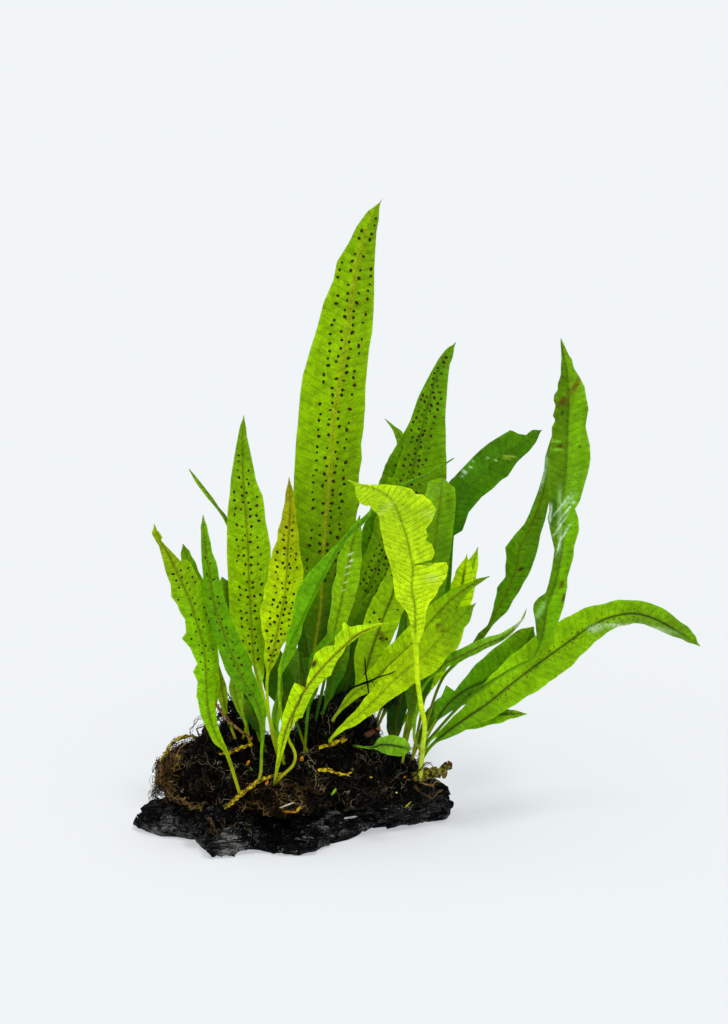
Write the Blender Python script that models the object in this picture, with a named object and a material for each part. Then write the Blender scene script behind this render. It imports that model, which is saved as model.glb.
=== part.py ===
"""Java fern grown on a piece of driftwood, at its real size.

Frame: +Z up, +X to the right of the front view, +Y away from it. The origin is on the
flat underside of the driftwood's trunk, which rests on z = 0.

The wood is one form of joined limbs, parted at its forks. The root mat is a mound of
lumps that sits on the wood, the rhizomes creep over the mat, and every frond (stipe,
midrib and blade in one piece) grows out of a rhizome or out of the mat.

Fronds and rhizomes are drawn in the front view: (across, up) are millimetres on a sheet
that stands square to the line of sight through the origin, and depth is the distance
behind the origin along +Y.
"""

import math

import bmesh
import bpy
from mathutils import Matrix, Vector, noise
from mathutils.bvhtree import BVHTree

MM = 0.001
GAP = 0.3 * MM  # left between pieces that touch

# The front view that fronds and rhizomes are drawn in.
VIEW_PITCH = math.radians(14)
VIEW_DISTANCE = 1200 * MM
VIEW_CENTRE = (37 * MM, 163 * MM)  # the spot of the sheet that the eye is square to

# Fronds: thicknesses of stipe and blade.
STIPE_RADIUS = 0.9 * MM
MARGIN_THICKNESS = 0.5 * MM
MIDRIB_THICKNESS = 1.5 * MM
MIDRIB_TAPER = 0.6  # share of its thickness that the midrib has lost at the tip
BLADE_STARTS = (1.2, 3.2)  # half widths, in stipe radii, between which stipe becomes blade
LEAST_SHOWN = 0.35  # a blade turned edge-on is built as if at least this share of it showed
LONGEST_SPAN = 22 * MM  # between two rings of a frond
FINE_STEP = 0.4 * MM  # between the points that a frond is read at
NEAREST_STATION = 0.3  # how far past the first ring a station must be to have its own
ROOTING_REACH = 80 * MM  # how far up from its foot a frond can meet the mat
CURVE_STEPS = 12  # fine steps between two stations of a curve

RHIZOME_SIDES = 7
RHIZOME_STEP = 6 * MM
RHIZOME_KNOBS = (0.95, 0.15)  # mean radius and its swing from knob to knob, as shares
KNOB_TURN = 2.3  # radians of that swing from ring to ring
RHIZOME_END = 0.8  # the end rings, as a share of the radius

LIMB_SIDES = 14
LIMB_STEP = 8 * MM
LIMB_END = 0.72  # the end rings, as a share of the limb
BARK_LUMPS = [(0.35, 30 * MM), (0.28, 11 * MM)]  # depth as a share of the limb, and grain

LUMP_ROUGHNESS = 0.10  # as a share of the lump
LUMP_GRAIN = 17 * MM

COLOURS = {
    "wood": ((0.012, 0.012, 0.012), 0.35),
    "roots": ((0.035, 0.022, 0.012), 0.6),
    "rhizome": ((0.30, 0.24, 0.03), 0.5),
    "frond": ((0.16, 0.40, 0.01), 0.4),
    "young_frond": ((0.38, 0.62, 0.03), 0.4),
    "dry_stalk": ((0.14, 0.08, 0.03), 0.6),
}

# Limbs of the driftwood: (x, y, z, half width, half height) in mm along each limb.
LIMBS = {
    "trunk": [
        (-56, 10, 11, 13, 11),
        (-38, 6, 11, 20, 14),
        (-15, 5, 11, 19, 14),
        (6, 3, 11, 23, 14),
        (28, 11, 11, 18, 14),
        (48, 22, 10, 15, 12),
        (60, 27, 9, 12, 10),
    ],
    "left_arm": [
        (-40, 4, 11, 16, 13),
        (-54, 7, 9, 13.5, 10),
        (-68, 11, 6, 9.5, 6.5),
        (-80, 13, 5, 4.5, 3),
    ],
    "right_arm": [
        (34, 11, 11, 16, 13),
        (50, 20, 10, 13.5, 11.5),
        (64, 27, 9, 12, 9.5),
        (75, 31, 9, 10, 8.5),
        (82, 33.5, 9.5, 7, 6.5),
    ],
    "front_foot": [
        (-32, 4, 12, 15, 13),
        (-34, -9, 9, 15, 12),
        (-33, -23, 6, 12, 8),
    ],
    "front_knob": [
        (4, 2, 11, 18, 13),
        (4, -11, 8, 17, 11),
        (5, -25, 5, 13, 6),
    ],
    "front_ridge": [
        (-36, -13, 7, 10, 9),
        (-22, -12, 6.5, 10, 8.5),
        (-8, -12, 6, 10, 8),
        (8, -15, 6, 11, 7.5),
    ],
}

# Forks, where the wood is parted: (low corner, high corner) in mm.
FORKS = {
    "driftwood_left_arm": ((-100, -60, -10), (-46, 60, 60)),
    "driftwood_right_arm": ((48, -60, -10), (110, 80, 60)),
    "driftwood_front_foot": ((-45, -60, -10), (-18, -7, 60)),
}

# Lumps of the root mat: (x, y, z), (half sizes) in mm.
MAT_LUMPS = [
    ((-6, -3, 30), (38, 23, 17)),
    ((-44, 5, 31), (26, 23, 20)),
    ((-27, 14, 38), (22, 21, 21)),
    ((8, 16, 32), (48, 24, 22)),
    ((24, 16, 44), (25, 23, 30)),
    ((27, 4, 33), (27, 20, 22)),
    ((50, 14, 28), (17, 19, 18)),
    ((58, 16, 22), (17, 18, 13)),
]

# Rhizomes: the radius, and how each shows on the mat as (across, up), in mm.
RHIZOMES = {
    "rhizome_left": (1.1, [(-64, 37), (-61, 42), (-57.5, 46.5), (-52.5, 49.5), (-46, 49)]),
    "rhizome_back": (1.2, [(-36, 41), (-31, 42.5), (-26, 44), (-19.5, 46.5)]),
    "rhizome_front": (1.3, [(-32, 16.5), (-27, 20), (-21, 24.5), (-15.5, 28.5), (-9, 30), (-3, 31.5)]),
    "rhizome_low": (1.1, [(13, 33.5), (19, 33), (25, 32), (30, 31.5)]),
    "rhizome_centre": (1.2, [(15, 44.5), (19, 45.5), (23.5, 47.5), (27.5, 50)]),
}

# Rhizomes that stand clear of the mat: the radius, and (across, up, depth), in mm.
FREE_RHIZOMES = {
    "rhizome_right": (
        2.3, [(62, 30.5, -4), (66, 31.5, -3.5), (70, 32.5, -3), (75, 32.5, -2), (79, 36.5, -1)]
    ),
    "rhizome_upright": (1.8, [(65.2, 37.7, -3), (65.8, 42, -3), (66.4, 46, -2.5), (66.8, 50, -2)]),
}

# Fronds. Each station of the spine is (across, up, depth, width as it shows) from the foot
# to the tip, in mm. The first stations are the stipe's, and the width is then its own.
# turn: degrees that the right margin is turned away from the viewer, at foot and tip.
# fold: degrees that each half of the blade leans back from its midrib.
FRONDS = {
    "frond_tall": dict(turn=(16, 8), fold=7, spine=[
        (9, 60, 10, 3), (10.5, 80, 11, 6), (12, 95, 12, 13), (14.5, 112, 12, 22), (15.5, 130, 13, 29),
        (17.2, 160, 14, 32.5), (19.6, 186, 15, 33), (21.4, 209, 16, 32), (24.6, 232, 17, 31),
        (28.8, 257, 18, 27), (31, 274, 19, 22.5), (33.8, 290, 20, 17.5), (38.4, 305, 21, 10.5),
        (42.5, 314, 23, 6.5), (46, 319.5, 24, 1),
    ]),
    "frond_left_middle": dict(turn=(-20, -10), fold=9, spine=[
        (-3, 37, -14, 1.7), (-6.5, 48, -18, 1.7), (-11.3, 63, -18.5, 1.7), (-14.5, 75, -16, 3),
        (-17.6, 87, -9.5, 7), (-19, 103, -6, 13), (-19.8, 118, -4, 17), (-20.6, 133, -2, 20),
        (-20.9, 146, 0, 22), (-22, 161, 2, 19), (-22.6, 170, 3, 16.7), (-23.3, 180, 4, 13.4),
        (-23.8, 199, 6, 5.6), (-23, 211.5, 8, 0.8),
    ]),
    "frond_speckled": dict(turn=(24, 16), fold=8, spine=[
        (-5, 38, -10, 1.7), (-9, 52, -13, 1.7), (-11.3, 69, -12.5, 1.7), (-11.3, 80, -15.5, 1.9),
        (-8.5, 94, -17, 8), (-6.3, 104, -16, 15), (-4.4, 113, -15, 19), (-2.5, 123, -14, 19),
        (-1.8, 132, -12, 17), (-1.5, 142, -10, 14), (-0.8, 151, -8, 10), (-0.3, 161, -5, 7),
        (0, 170, -3, 4.6), (-0.5, 180.5, 0, 0.8),
    ]),
    "frond_thin_left": dict(turn=(60, 50), fold=8, spine=[
        (-19, 62, 14, 1.7), (-22, 95, 17, 1.7), (-23, 124, 18, 1.9), (-26, 146, 20, 2.4),
        (-32, 159.5, 24, 1.8), (-36, 165, 27, 1.2), (-40.5, 171, 29, 2), (-45, 177, 32, 1.8),
        (-50.5, 184.5, 36, 0.6),
    ]),
    "frond_left_outer": dict(turn=(14, 6), fold=10, spine=[
        (-25, 22, -25, 1.9), (-31.5, 42, -29, 2.1), (-37, 51, -29, 5), (-41, 64, -27, 7.6),
        (-42, 78, -24, 9.5), (-42.5, 89, -22, 12), (-44, 98.6, -21, 15), (-46.8, 108, -21, 16),
        (-50, 118, -22, 16), (-54, 127.5, -24, 15), (-58, 136, -27, 11), (-61.5, 143, -30, 6),
        (-65, 149, -33, 3), (-68, 157, -36, 0.8),
    ]),
    "frond_left_blunt": dict(turn=(20, 24), fold=8, spine=[
        (-36, 48, 6, 1.7), (-38, 62, 4, 3), (-39, 79, 0, 8), (-42, 99, -4, 12), (-46, 119, -7, 11.5),
        (-50, 134, -8, 8), (-52, 141.5, -8, 4.6), (-53.5, 147, -8, 1.6),
    ]),
    "frond_left_sweeping": dict(turn=(-16, -30), fold=10, spine=[
        (-16, 28, -24, 1.7), (-14.6, 33, -28, 1.8), (-14.2, 43.5, -31, 1.9), (-13.7, 55, -33, 3.5),
        (-15.4, 65, -33, 5.2), (-18.5, 72, -33, 7), (-23.5, 79.5, -33, 10.5), (-27.8, 89, -32, 12.5),
        (-31.5, 98.6, -30, 11), (-34.8, 108, -28, 10), (-38, 118, -25, 9.5), (-40, 132, -22, 7.5),
        (-42, 144, -20, 5), (-43, 154, -18, 3), (-43.5, 161.5, -17, 0.8),
    ]),
    "frond_front_small": dict(turn=(18, 24), fold=11, spine=[
        (-7.5, 29.5, -24, 1.7), (-5.6, 39, -31, 3.2), (-2.5, 53, -35, 4.8), (1.4, 62.5, -37, 8),
        (6.8, 73, -38, 10.5), (13.7, 82.5, -39, 11.8), (20.6, 90, -40, 11), (28, 97, -39, 9.5),
        (34, 102, -38, 7.5), (42, 105.5, -36, 5), (49, 107.5, -34, 0.8),
    ]),
    "frond_front_pale": dict(turn=(4, -24), fold=12, spine=[
        (65.4, 34, -6, 2.6), (66.3, 45, -9, 2.7), (67.3, 56, -15, 2.9), (65.3, 68, -22, 2.4),
        (63.8, 79, -27, 2.4), (63, 95, -33, 4), (62.7, 108, -37, 8.5), (62.5, 116, -39, 12),
        (61, 125, -42, 21), (61.5, 134.6, -45, 27), (60, 143, -49, 25), (58.3, 151, -53, 23.5),
        (56, 157.6, -57, 24.5), (53.5, 164.5, -62, 23.5), (49.5, 170.5, -67, 18), (43, 174.5, -71, 11),
        (35, 177, -75, 6), (29, 179, -78, 1),
    ]),
    "frond_back_tall": dict(turn=(-26, -12), fold=8, spine=[
        (23, 66, 20, 1.9), (28, 89, 23, 4), (33.5, 109, 25, 11), (40, 127, 27, 17), (48, 144, 29, 20),
        (55.4, 164, 31, 22.5), (60.8, 182, 33, 23), (64, 195, 35, 21.5), (67, 208, 37, 18),
        (70, 220, 39, 14), (73, 230, 41, 11.5), (77, 240, 44, 7), (83, 248, 47, 1),
    ]),
    "frond_back_broad": dict(turn=(14, 18), fold=8, spine=[
        (19, 62, 32, 1.9), (26, 92, 38, 7), (33, 115, 42, 14), (43, 142, 47, 19), (50, 161, 50, 21),
        (57, 181, 53, 21), (64, 203, 57, 12), (71, 221, 62, 1),
    ]),
    "frond_back_pale": dict(turn=(-20, -20), fold=6, spine=[
        (46, 66, 26, 1.7), (56, 95, 36, 4), (64, 130, 47, 8), (70, 165, 56, 10), (73.5, 192, 63, 8.5),
        (75.5, 213, 68, 1),
    ]),
    "frond_back_ragged": dict(turn=(30, 30), fold=6, spine=[
        (38, 72, 30, 1.7), (46, 110, 46, 1.9), (54, 150, 62, 6), (58.5, 178, 72, 7.5),
        (58, 192, 76, 7.5), (55, 201, 79, 4.4), (51, 206, 81, 1.6), (47.5, 209.5, 83, 0.7),
    ]),
    "frond_long_arching": dict(turn=(20, 70), fold=9, spine=[
        (-3, 32, -24, 1.7), (1.5, 36.5, -27, 1.7), (2.6, 42, -28, 1.7), (-0.5, 49, -28, 1.7),
        (-4, 60, -28, 1.7), (-5.5, 74, -28, 1.9), (-3.7, 89, -27, 4), (0.2, 98.6, -26, 8),
        (6.5, 111.5, -25, 11), (12.5, 124, -25, 10), (20, 139, -27, 5.5), (27.5, 150, -29, 3),
        (41.5, 163, -32, 2.4), (55, 175, -29, 2.4), (70, 182.5, -20, 4), (76, 186, -15, 3),
        (82, 190, -10, 0.8),
    ]),
    "frond_bent_tip": dict(turn=(18, 10), fold=7, spine=[
        (57, 42, 4, 1.9), (60, 58, 4, 3), (63, 84, 4, 10), (66.5, 109, 5, 15), (70, 129, 6, 17),
        (72.3, 146, 7, 17), (73.6, 157.6, 8, 17), (75, 168, 10, 15.5), (75.8, 176, 14, 13.5),
        (76.2, 180, 20, 9),
    ]),
    "frond_right_upper": dict(turn=(-20, 14), fold=7, spine=[
        (62, 44, 12, 1.7), (66, 64, 15, 1.9), (68.5, 82, 17, 7), (71, 99, 18, 12), (74, 124, 20, 16.5),
        (77, 145, 21, 18.5), (81.5, 162, 22, 19), (88.4, 174, 24, 18.5), (96, 182, 26, 19),
        (107, 192, 29, 16.5), (113, 196, 31, 13.5), (118, 198.5, 33, 11), (122.5, 202, 34, 6.8),
        (126, 204, 35, 3.2),
    ]),
    "frond_right_tall": dict(turn=(10, -14), fold=12, spine=[
        (66.4, 44, -4, 1.9), (69, 48.5, -9.5, 1.9), (72, 52, -13, 1.9), (84.8, 66, -25, 2.1),
        (97, 75.5, -36, 3), (107, 82, -41, 2.1), (115, 86.5, -43, 1.9), (121.5, 89.5, -44, 1.7),
        (125, 96, -44, 3), (127.4, 104, -43.5, 8.6), (129.2, 115, -42, 15), (131.5, 121.5, -41, 13),
        (134, 130, -39.5, 9.2), (136.5, 144, -36, 9.8), (137.2, 157, -32, 15),
        (136.6, 166.5, -28.5, 14.2), (138.3, 176.5, -24, 18), (139.4, 191, -19, 21),
        (139.6, 205, -15, 17.4), (140, 217, -14, 16.5), (139.6, 227, -12, 12.5),
        (138.6, 235, -10.5, 6.4), (137.2, 242, -9, 4), (135.4, 250, -7, 0.8),
    ]),
    "frond_right_behind": dict(turn=(-30, -24), fold=9, spine=[
        (66.8, 50, -1.5, 1.7), (69, 60, 4, 1.8), (75.6, 78.5, 4, 2), (84.3, 89, 4, 3),
        (95.3, 100.5, 4, 5), (101.4, 109.5, 4, 8.6), (105.6, 117, 4, 10), (109.4, 125, 4, 12),
        (113, 134, 4, 12), (114.8, 144, 4, 16.5), (119, 152.6, 5, 12.5), (123.5, 163, 6, 9.5),
        (126.8, 173, 7, 5.5), (129, 188, 10, 7), (131.5, 203, 14, 1),
    ]),
    "frond_right_slim": dict(turn=(24, 30), fold=9, spine=[
        (65.8, 43, -2, 1.7), (62, 52, -7, 1.7), (66, 74, -11, 1.7), (76.7, 86.4, -10, 4),
        (82, 89.5, -9, 6), (91, 94, -8, 5.5), (98.5, 97.5, -7, 5), (107, 101, -6, 3.4),
        (115.3, 108.3, -3, 1), (118.3, 114.5, 0, 0.6),
    ]),
    "frond_right_low": dict(turn=(30, 22), fold=8, spine=[
        (66.6, 47, -2, 1.7), (72, 57, -3.5, 2.1), (78.4, 66.5, -6, 9), (87.3, 74, -10, 15.5),
        (97.8, 79, -12, 19), (105.5, 84, -13, 19.5), (112.2, 89.5, -15, 17), (118, 96.5, -16, 10),
        (122, 105.5, -18, 1),
    ]),
    "frond_right_arching": dict(turn=(-14, 40), fold=9, spine=[
        (65.4, 38.5, -3, 2.1), (71.5, 47, -6, 2.6), (86, 58.5, -21, 9), (98.4, 67, -27, 15),
        (108.9, 75.6, -28, 19), (119.7, 84, -27, 21.5), (130.6, 92, -26, 21.5), (141, 99.6, -24, 19.5),
        (150.3, 106, -22, 16), (160.3, 110.6, -20, 13), (172, 112.4, -18, 11.5),
        (183, 109.5, -16, 10.5), (194, 103.5, -14, 8), (200, 99.5, -13, 5), (205, 96, -12, 1),
    ]),
    "frond_right_lowest": dict(turn=(-20, -16), fold=8, spine=[
        (65.3, 38, -3, 1.7), (69, 47.5, -1.5, 1.7), (74, 52, -2, 3), (82, 56, -6, 6),
        (93, 60.3, -14, 10.5), (104, 61.5, -23, 8), (111, 62, -26, 4), (118.5, 62, -28, 0.8),
    ]),
    "frond_right_short": dict(turn=(20, 20), fold=8, spine=[
        (62, 42, 16, 1.7), (66, 52, 21, 4), (71, 61, 26, 7), (75, 67, 29, 5), (79, 72, 31, 1),
    ]),
    "frond_right_light": dict(turn=(-18, -10), fold=8, spine=[
        (56, 47, 16, 2.1), (60, 58, 18, 4.6), (65, 70, 20, 5), (73.5, 86.5, 23, 10), (80, 104, 25, 13),
        (85, 121.5, 27, 12.5), (87, 131.5, 28, 9), (88.5, 142, 30, 1),
    ]),
    "frond_right_hidden": dict(turn=(20, 20), fold=6, spine=[
        (52, 50, 26, 1.7), (66, 74, 34, 4), (78, 97, 40, 8), (87, 121, 46, 9), (91, 135, 51, 6),
        (94, 145.5, 55, 0.8),
    ]),
    "frond_middle_upper": dict(turn=(-22, -14), fold=7, spine=[
        (22, 60, -6, 1.7), (31, 71, -8, 4.5), (43, 80, -8, 10), (52, 88.5, -7, 15), (61, 97, -7, 15),
        (71, 109, -8, 12), (81, 119.5, -11, 8), (91.5, 127, -15, 3), (100, 131, -20, 0.7),
    ]),
    "frond_middle_lower": dict(turn=(-26, -16), fold=8, spine=[
        (20, 49, -18, 1.9), (26, 55, -20, 3.6), (34, 61, -21, 6), (44, 70.5, -20, 9.5),
        (55, 81.5, -18, 14), (66.5, 90.5, -18, 17), (76, 101, -19, 16), (85, 110, -21, 9),
        (93, 117.5, -24, 1),
    ]),
    "frond_middle_shaded": dict(turn=(16, 10), fold=6, spine=[
        (33, 62, 6, 1.9), (36, 76, 4, 7), (40.5, 93, 2, 15), (46.5, 110, 1, 17), (51.3, 122, 0, 15),
        (55, 136.5, 0, 9), (58.5, 151.5, 0, 1),
    ]),
    "frond_middle_glossy": dict(turn=(-26, -20), fold=8, spine=[
        (14, 64, 3, 1.7), (17, 78, 0, 1.9), (20, 92, -2, 5), (23.5, 108, -4, 9), (27, 124, -5, 11.5),
        (29.5, 138, -5, 11.5), (32, 150, -4, 7), (35, 161.5, -3, 0.8),
    ]),
    "frond_left_pale": dict(turn=(16, 16), fold=7, spine=[
        (-22, 58, 2, 1.7), (-26, 80, 3, 4), (-28, 99, 4, 8), (-30.5, 115, 6, 9.5), (-32.5, 125, 7, 7.5),
        (-34, 130.5, 8, 3),
    ]),
    "frond_shaded_left": dict(turn=(20, 26), fold=6, spine=[
        (6, 50, -1, 1.7), (3, 58, -1, 2.1), (-1, 66, 0, 8), (-5, 77, 1, 15), (-9, 88, 2, 14),
        (-13, 97, 2, 8), (-17, 104, 2, 0.8),
    ]),
    "frond_shaded_right": dict(turn=(-24, -24), fold=6, spine=[
        (8, 52, -4, 1.7), (9, 64, -8, 2.1), (11, 76, -12, 6), (15, 88, -15, 11), (21, 97, -17, 10),
        (28, 102, -18, 7), (36, 105.5, -18, 1),
    ]),
    "frond_low_sprout": dict(turn=(-10, -10), fold=6, spine=[
        (33, 46, -8, 1.1), (37.5, 45.3, -20, 1.1), (41.5, 45.3, -25, 1.4), (45.5, 46.5, -28, 7.5),
        (50, 46.5, -31, 9.5), (55.5, 45.5, -33, 9), (60.5, 44.5, -34, 4),
    ]),
    "frond_sprout_left": dict(turn=(20, 20), fold=8, spine=[
        (-29, 54, 4, 1.7), (-32, 62, 7, 3.2), (-34, 74, 9, 5), (-36, 88, 10, 0.8),
    ]),
    "frond_sprout_middle": dict(turn=(-24, -24), fold=8, spine=[
        (-22, 56, -4, 1.7), (-25, 64, -5, 3.4), (-27.5, 74, -5, 6), (-28.5, 85, -5, 0.8),
    ]),
    "frond_sprout_right": dict(turn=(20, 28), fold=8, spine=[
        (-16, 52, 6, 1.7), (-18.5, 60, 8, 3.4), (-22, 68, 9, 7), (-24, 75, 10, 5), (-26, 81, 11, 0.8),
    ]),
    "frond_sprout_low": dict(turn=(14, 10), fold=6, spine=[
        (-14, 50, 0, 1.7), (-16, 57, -1.5, 6), (-20, 63, -1.5, 9), (-25, 67.5, -1, 6),
        (-29, 70, 0, 0.8),
    ]),
    "frond_hanging": dict(turn=(-12, -16), fold=6, spine=[
        (-5, 46, -6, 1.8), (-7.5, 54, -7.5, 4), (-6.8, 63, -8, 4.4), (-5.4, 71, -8, 3),
        (-4, 80, -8, 0.8),
    ]),
    "frond_inner_broad": dict(turn=(12, 18), fold=7, spine=[
        (24, 60, 20, 1.9), (27, 72, 20, 9), (30, 85, 20, 13), (34, 100, 20, 12), (38, 114, 21, 7),
        (42, 126, 22, 0.8),
    ]),
    "frond_inner_round": dict(turn=(-16, -10), fold=6, spine=[
        (14, 54, 6, 1.7), (17, 64, 6, 2.1), (20, 74, 6, 5), (23, 84, 5, 9), (26, 91, 4, 7),
        (30, 97, 3, 0.8),
    ]),
    "frond_right_inner": dict(turn=(20, 14), fold=7, spine=[
        (52, 46, 22, 1.7), (52.5, 56, 24, 8), (54, 66, 26, 10), (57, 78, 28, 8), (61, 92, 30, 0.8),
    ]),
    "frond_rear_left": dict(turn=(160, 170), fold=8, spine=[
        (-26, 50, 22, 1.7), (-27, 66, 34, 3), (-24, 90, 46, 12), (-21, 116, 56, 19), (-20, 142, 66, 14),
        (-21, 166, 78, 1),
    ]),
    "frond_rear_middle": dict(turn=(196, 190), fold=8, spine=[
        (8, 60, 32, 1.9), (7, 84, 42, 5), (11, 115, 50, 17), (16, 148, 57, 22), (21, 180, 66, 16),
        (26, 205, 76, 1),
    ]),
    "frond_rear_low": dict(turn=(172, 150), fold=8, spine=[
        (-4, 50, 32, 1.7), (-2, 58, 46, 3), (2, 72, 62, 13), (6, 88, 80, 18), (8, 100, 98, 1),
    ]),
    "frond_rear_right": dict(turn=(204, 210), fold=8, spine=[
        (44, 56, 30, 1.7), (50, 70, 44, 4), (57, 92, 60, 14), (63, 112, 76, 16), (68, 128, 94, 1),
    ]),
}
YOUNG_FRONDS = {"frond_front_pale", "frond_front_small", "frond_right_light", "frond_left_pale"}

# A bare old stipe that has lost its blade: (across, up, depth) in mm.
OLD_STIPE_RADIUS = 0.8 * MM
OLD_STIPE_SIDES = 6
OLD_STIPE_RINGS = 9
OLD_STIPE = [(-19, 49.5, -14), (-24, 53, -18), (-30, 58, -20), (-35, 64, -20), (-39, 70, -18)]


def clear_scene():
    for obj in list(bpy.data.objects):
        bpy.data.objects.remove(obj, do_unlink=True)


def view_axes():
    """Right and up along the sheet, and the eye's place."""
    right = Vector((1, 0, 0))
    up = Vector((0, math.sin(VIEW_PITCH), math.cos(VIEW_PITCH)))
    forward = Vector((0, math.cos(VIEW_PITCH), -math.sin(VIEW_PITCH)))
    eye = right * VIEW_CENTRE[0] + up * VIEW_CENTRE[1] - forward * VIEW_DISTANCE
    return right, up, eye


RIGHT, UP, EYE = view_axes()


def sight_line(across, up):
    """Direction from the eye through a spot of the sheet given in mm."""
    return (RIGHT * across * MM + UP * up * MM - EYE).normalized()


def placed(across, up, depth):
    """The point seen at that spot of the sheet, depth mm behind the origin."""
    line = sight_line(across, up)
    return EYE + line * ((depth * MM - EYE.y) / line.y)


def material(name):
    made = bpy.data.materials.get(name)
    if made is None:
        made = bpy.data.materials.new(name)
        made.use_nodes = True
        colour, roughness = COLOURS[name]
        shader = made.node_tree.nodes["Principled BSDF"]
        shader.inputs["Base Color"].default_value = (*colour, 1)
        shader.inputs["Roughness"].default_value = roughness
        shader.inputs["Metallic"].default_value = 0
    return made


def add_object(name, bm, finish):
    bmesh.ops.recalc_face_normals(bm, faces=bm.faces)
    mesh = bpy.data.meshes.new(name)
    bm.to_mesh(mesh)
    bm.free()
    mesh.shade_smooth()
    mesh.set_sharp_from_angle(angle=math.radians(40))
    mesh.materials.append(material(finish))
    obj = bpy.data.objects.new(name, mesh)
    bpy.context.scene.collection.objects.link(obj)
    return obj


def make_cutter(obj):
    obj.hide_render = True
    obj.display_type = "WIRE"
    return obj


def add_boolean(obj, operation, other):
    modifier = obj.modifiers.new(f"{operation.lower()}_{other.name}", "BOOLEAN")
    modifier.operation = operation
    modifier.solver = "EXACT"
    modifier.object = other


def marked_curve(points, step):
    """Points a step apart on a curve through the given points, and each one's place between them."""
    ends = [points[0] * 2 - points[1]] + points + [points[-1] * 2 - points[-2]]
    fine, fine_marks = [], []
    for i, (a, b, c, d) in enumerate(zip(ends, ends[1:], ends[2:], ends[3:])):
        for k in range(CURVE_STEPS):
            t = k / CURVE_STEPS
            rise, bend, sway = c - a, a * 2 - b * 5 + c * 4 - d, b * 3 - a - c * 3 + d
            fine.append((b * 2 + rise * t + bend * t**2 + sway * t**3) / 2)
            fine_marks.append(i + t)
    fine.append(points[-1])
    fine_marks.append(len(points) - 1)
    lengths = [0.0]
    for a, b in zip(fine, fine[1:]):
        lengths.append(lengths[-1] + (b - a).length)
    count = max(1, round(lengths[-1] / step))
    even, marks, k = [], [], 0
    for i in range(count + 1):
        at = lengths[-1] * i / count
        while k < len(fine) - 2 and lengths[k + 1] < at:
            k += 1
        share = min(1.0, (at - lengths[k]) / max(lengths[k + 1] - lengths[k], 1e-9))
        even.append(fine[k].lerp(fine[k + 1], share))
        marks.append(fine_marks[k] + (fine_marks[k + 1] - fine_marks[k]) * share)
    return even, marks


def smooth_curve(points, step):
    return marked_curve(points, step)[0]


def width_at(widths, mark):
    """The widths read between two stations, eased from one to the other."""
    k = min(int(mark), len(widths) - 2)
    share = mark - k
    return widths[k] + (widths[k + 1] - widths[k]) * share**2 * (3 - 2 * share)


def tangents(points):
    ends = [points[0]] + points + [points[-1]]
    return [(b - a).normalized() for a, b in zip(ends, ends[2:])]


def skin_rings(bm, rings):
    """Joins rings of vertices, all of one count, with triangles, and closes both ends."""
    for low, high in zip(rings, rings[1:]):
        for k in range(len(low)):
            n = (k + 1) % len(low)
            bm.faces.new((low[k], low[n], high[n]))
            bm.faces.new((low[k], high[n], high[k]))
    bm.faces.new(reversed(rings[0]))
    bm.faces.new(rings[-1])


def limb(name, stations, swell=0.0):
    """One limb of the wood: an uneven flattened tube through its stations."""
    points, marks = marked_curve([Vector(spot[:3]) * MM for spot in stations], LIMB_STEP)
    bm = bmesh.new()
    rings = []
    for i, (point, along) in enumerate(zip(points, tangents(points))):
        k = min(int(marks[i]), len(stations) - 2)
        size = Vector(stations[k][3:]).lerp(Vector(stations[k + 1][3:]), marks[i] - k) * MM
        longer = Vector()
        if i in (0, len(points) - 1):
            size *= LIMB_END
            longer = along * (swell if i else -swell)
        side = along.cross(Vector((0, 0, 1))).normalized()
        top = side.cross(along)
        ring = []
        for j in range(LIMB_SIDES):
            angle = 2 * math.pi * j / LIMB_SIDES
            out = side * math.cos(angle) * size.x + top * math.sin(angle) * size.y
            spot = point + out
            rough = 1 + sum(depth * noise.noise(spot / grain) for depth, grain in BARK_LUMPS)
            ring.append(bm.verts.new(point + out * rough + out.normalized() * swell + longer))
        rings.append(ring)
    skin_rings(bm, rings)
    return make_cutter(add_object(name, bm, "wood"))


def box(name, low, high, grow=0.0):
    centre = (Vector(low) + Vector(high)) * MM / 2
    size = (Vector(high) - Vector(low)) * MM + Vector((grow, grow, grow)) * 2
    bm = bmesh.new()
    bmesh.ops.create_cube(bm, size=1, matrix=Matrix.Translation(centre) @ Matrix.Diagonal((*size, 1)))
    return make_cutter(add_object(name, bm, "wood"))


def joined_mesh(first, others, floor=None):
    """The mesh of the first object joined with the others, cut off flat at the floor."""
    for other in others:
        add_boolean(first, "UNION", other)
    if floor is not None:
        add_boolean(first, "DIFFERENCE", floor)
    graph = bpy.context.evaluated_depsgraph_get()
    mesh = bpy.data.meshes.new_from_object(first.evaluated_get(graph), depsgraph=graph)
    for obj in [first] + list(others):
        bpy.data.objects.remove(obj, do_unlink=True)
    return mesh


def wood_form(name, floor, swell=0.0):
    limbs = [limb(f"{name}_{part}", stations, swell) for part, stations in LIMBS.items()]
    return joined_mesh(limbs[0], limbs[1:], floor)


def make_driftwood():
    """The trunk and the limbs beyond its forks, each its own solid."""
    floor = box("floor_cutter", (-200, -200, -60), (250, 200, 0))
    mesh = wood_form("limb", floor)
    trunk = bpy.data.objects.new("driftwood_trunk", mesh)
    bpy.context.scene.collection.objects.link(trunk)
    for name, (low, high) in FORKS.items():
        arm = bpy.data.objects.new(name, mesh.copy())
        bpy.context.scene.collection.objects.link(arm)
        add_boolean(arm, "INTERSECT", box(f"{name}_region", low, high))
        add_boolean(trunk, "DIFFERENCE", box(f"{name}_parting", low, high, GAP))


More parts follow.
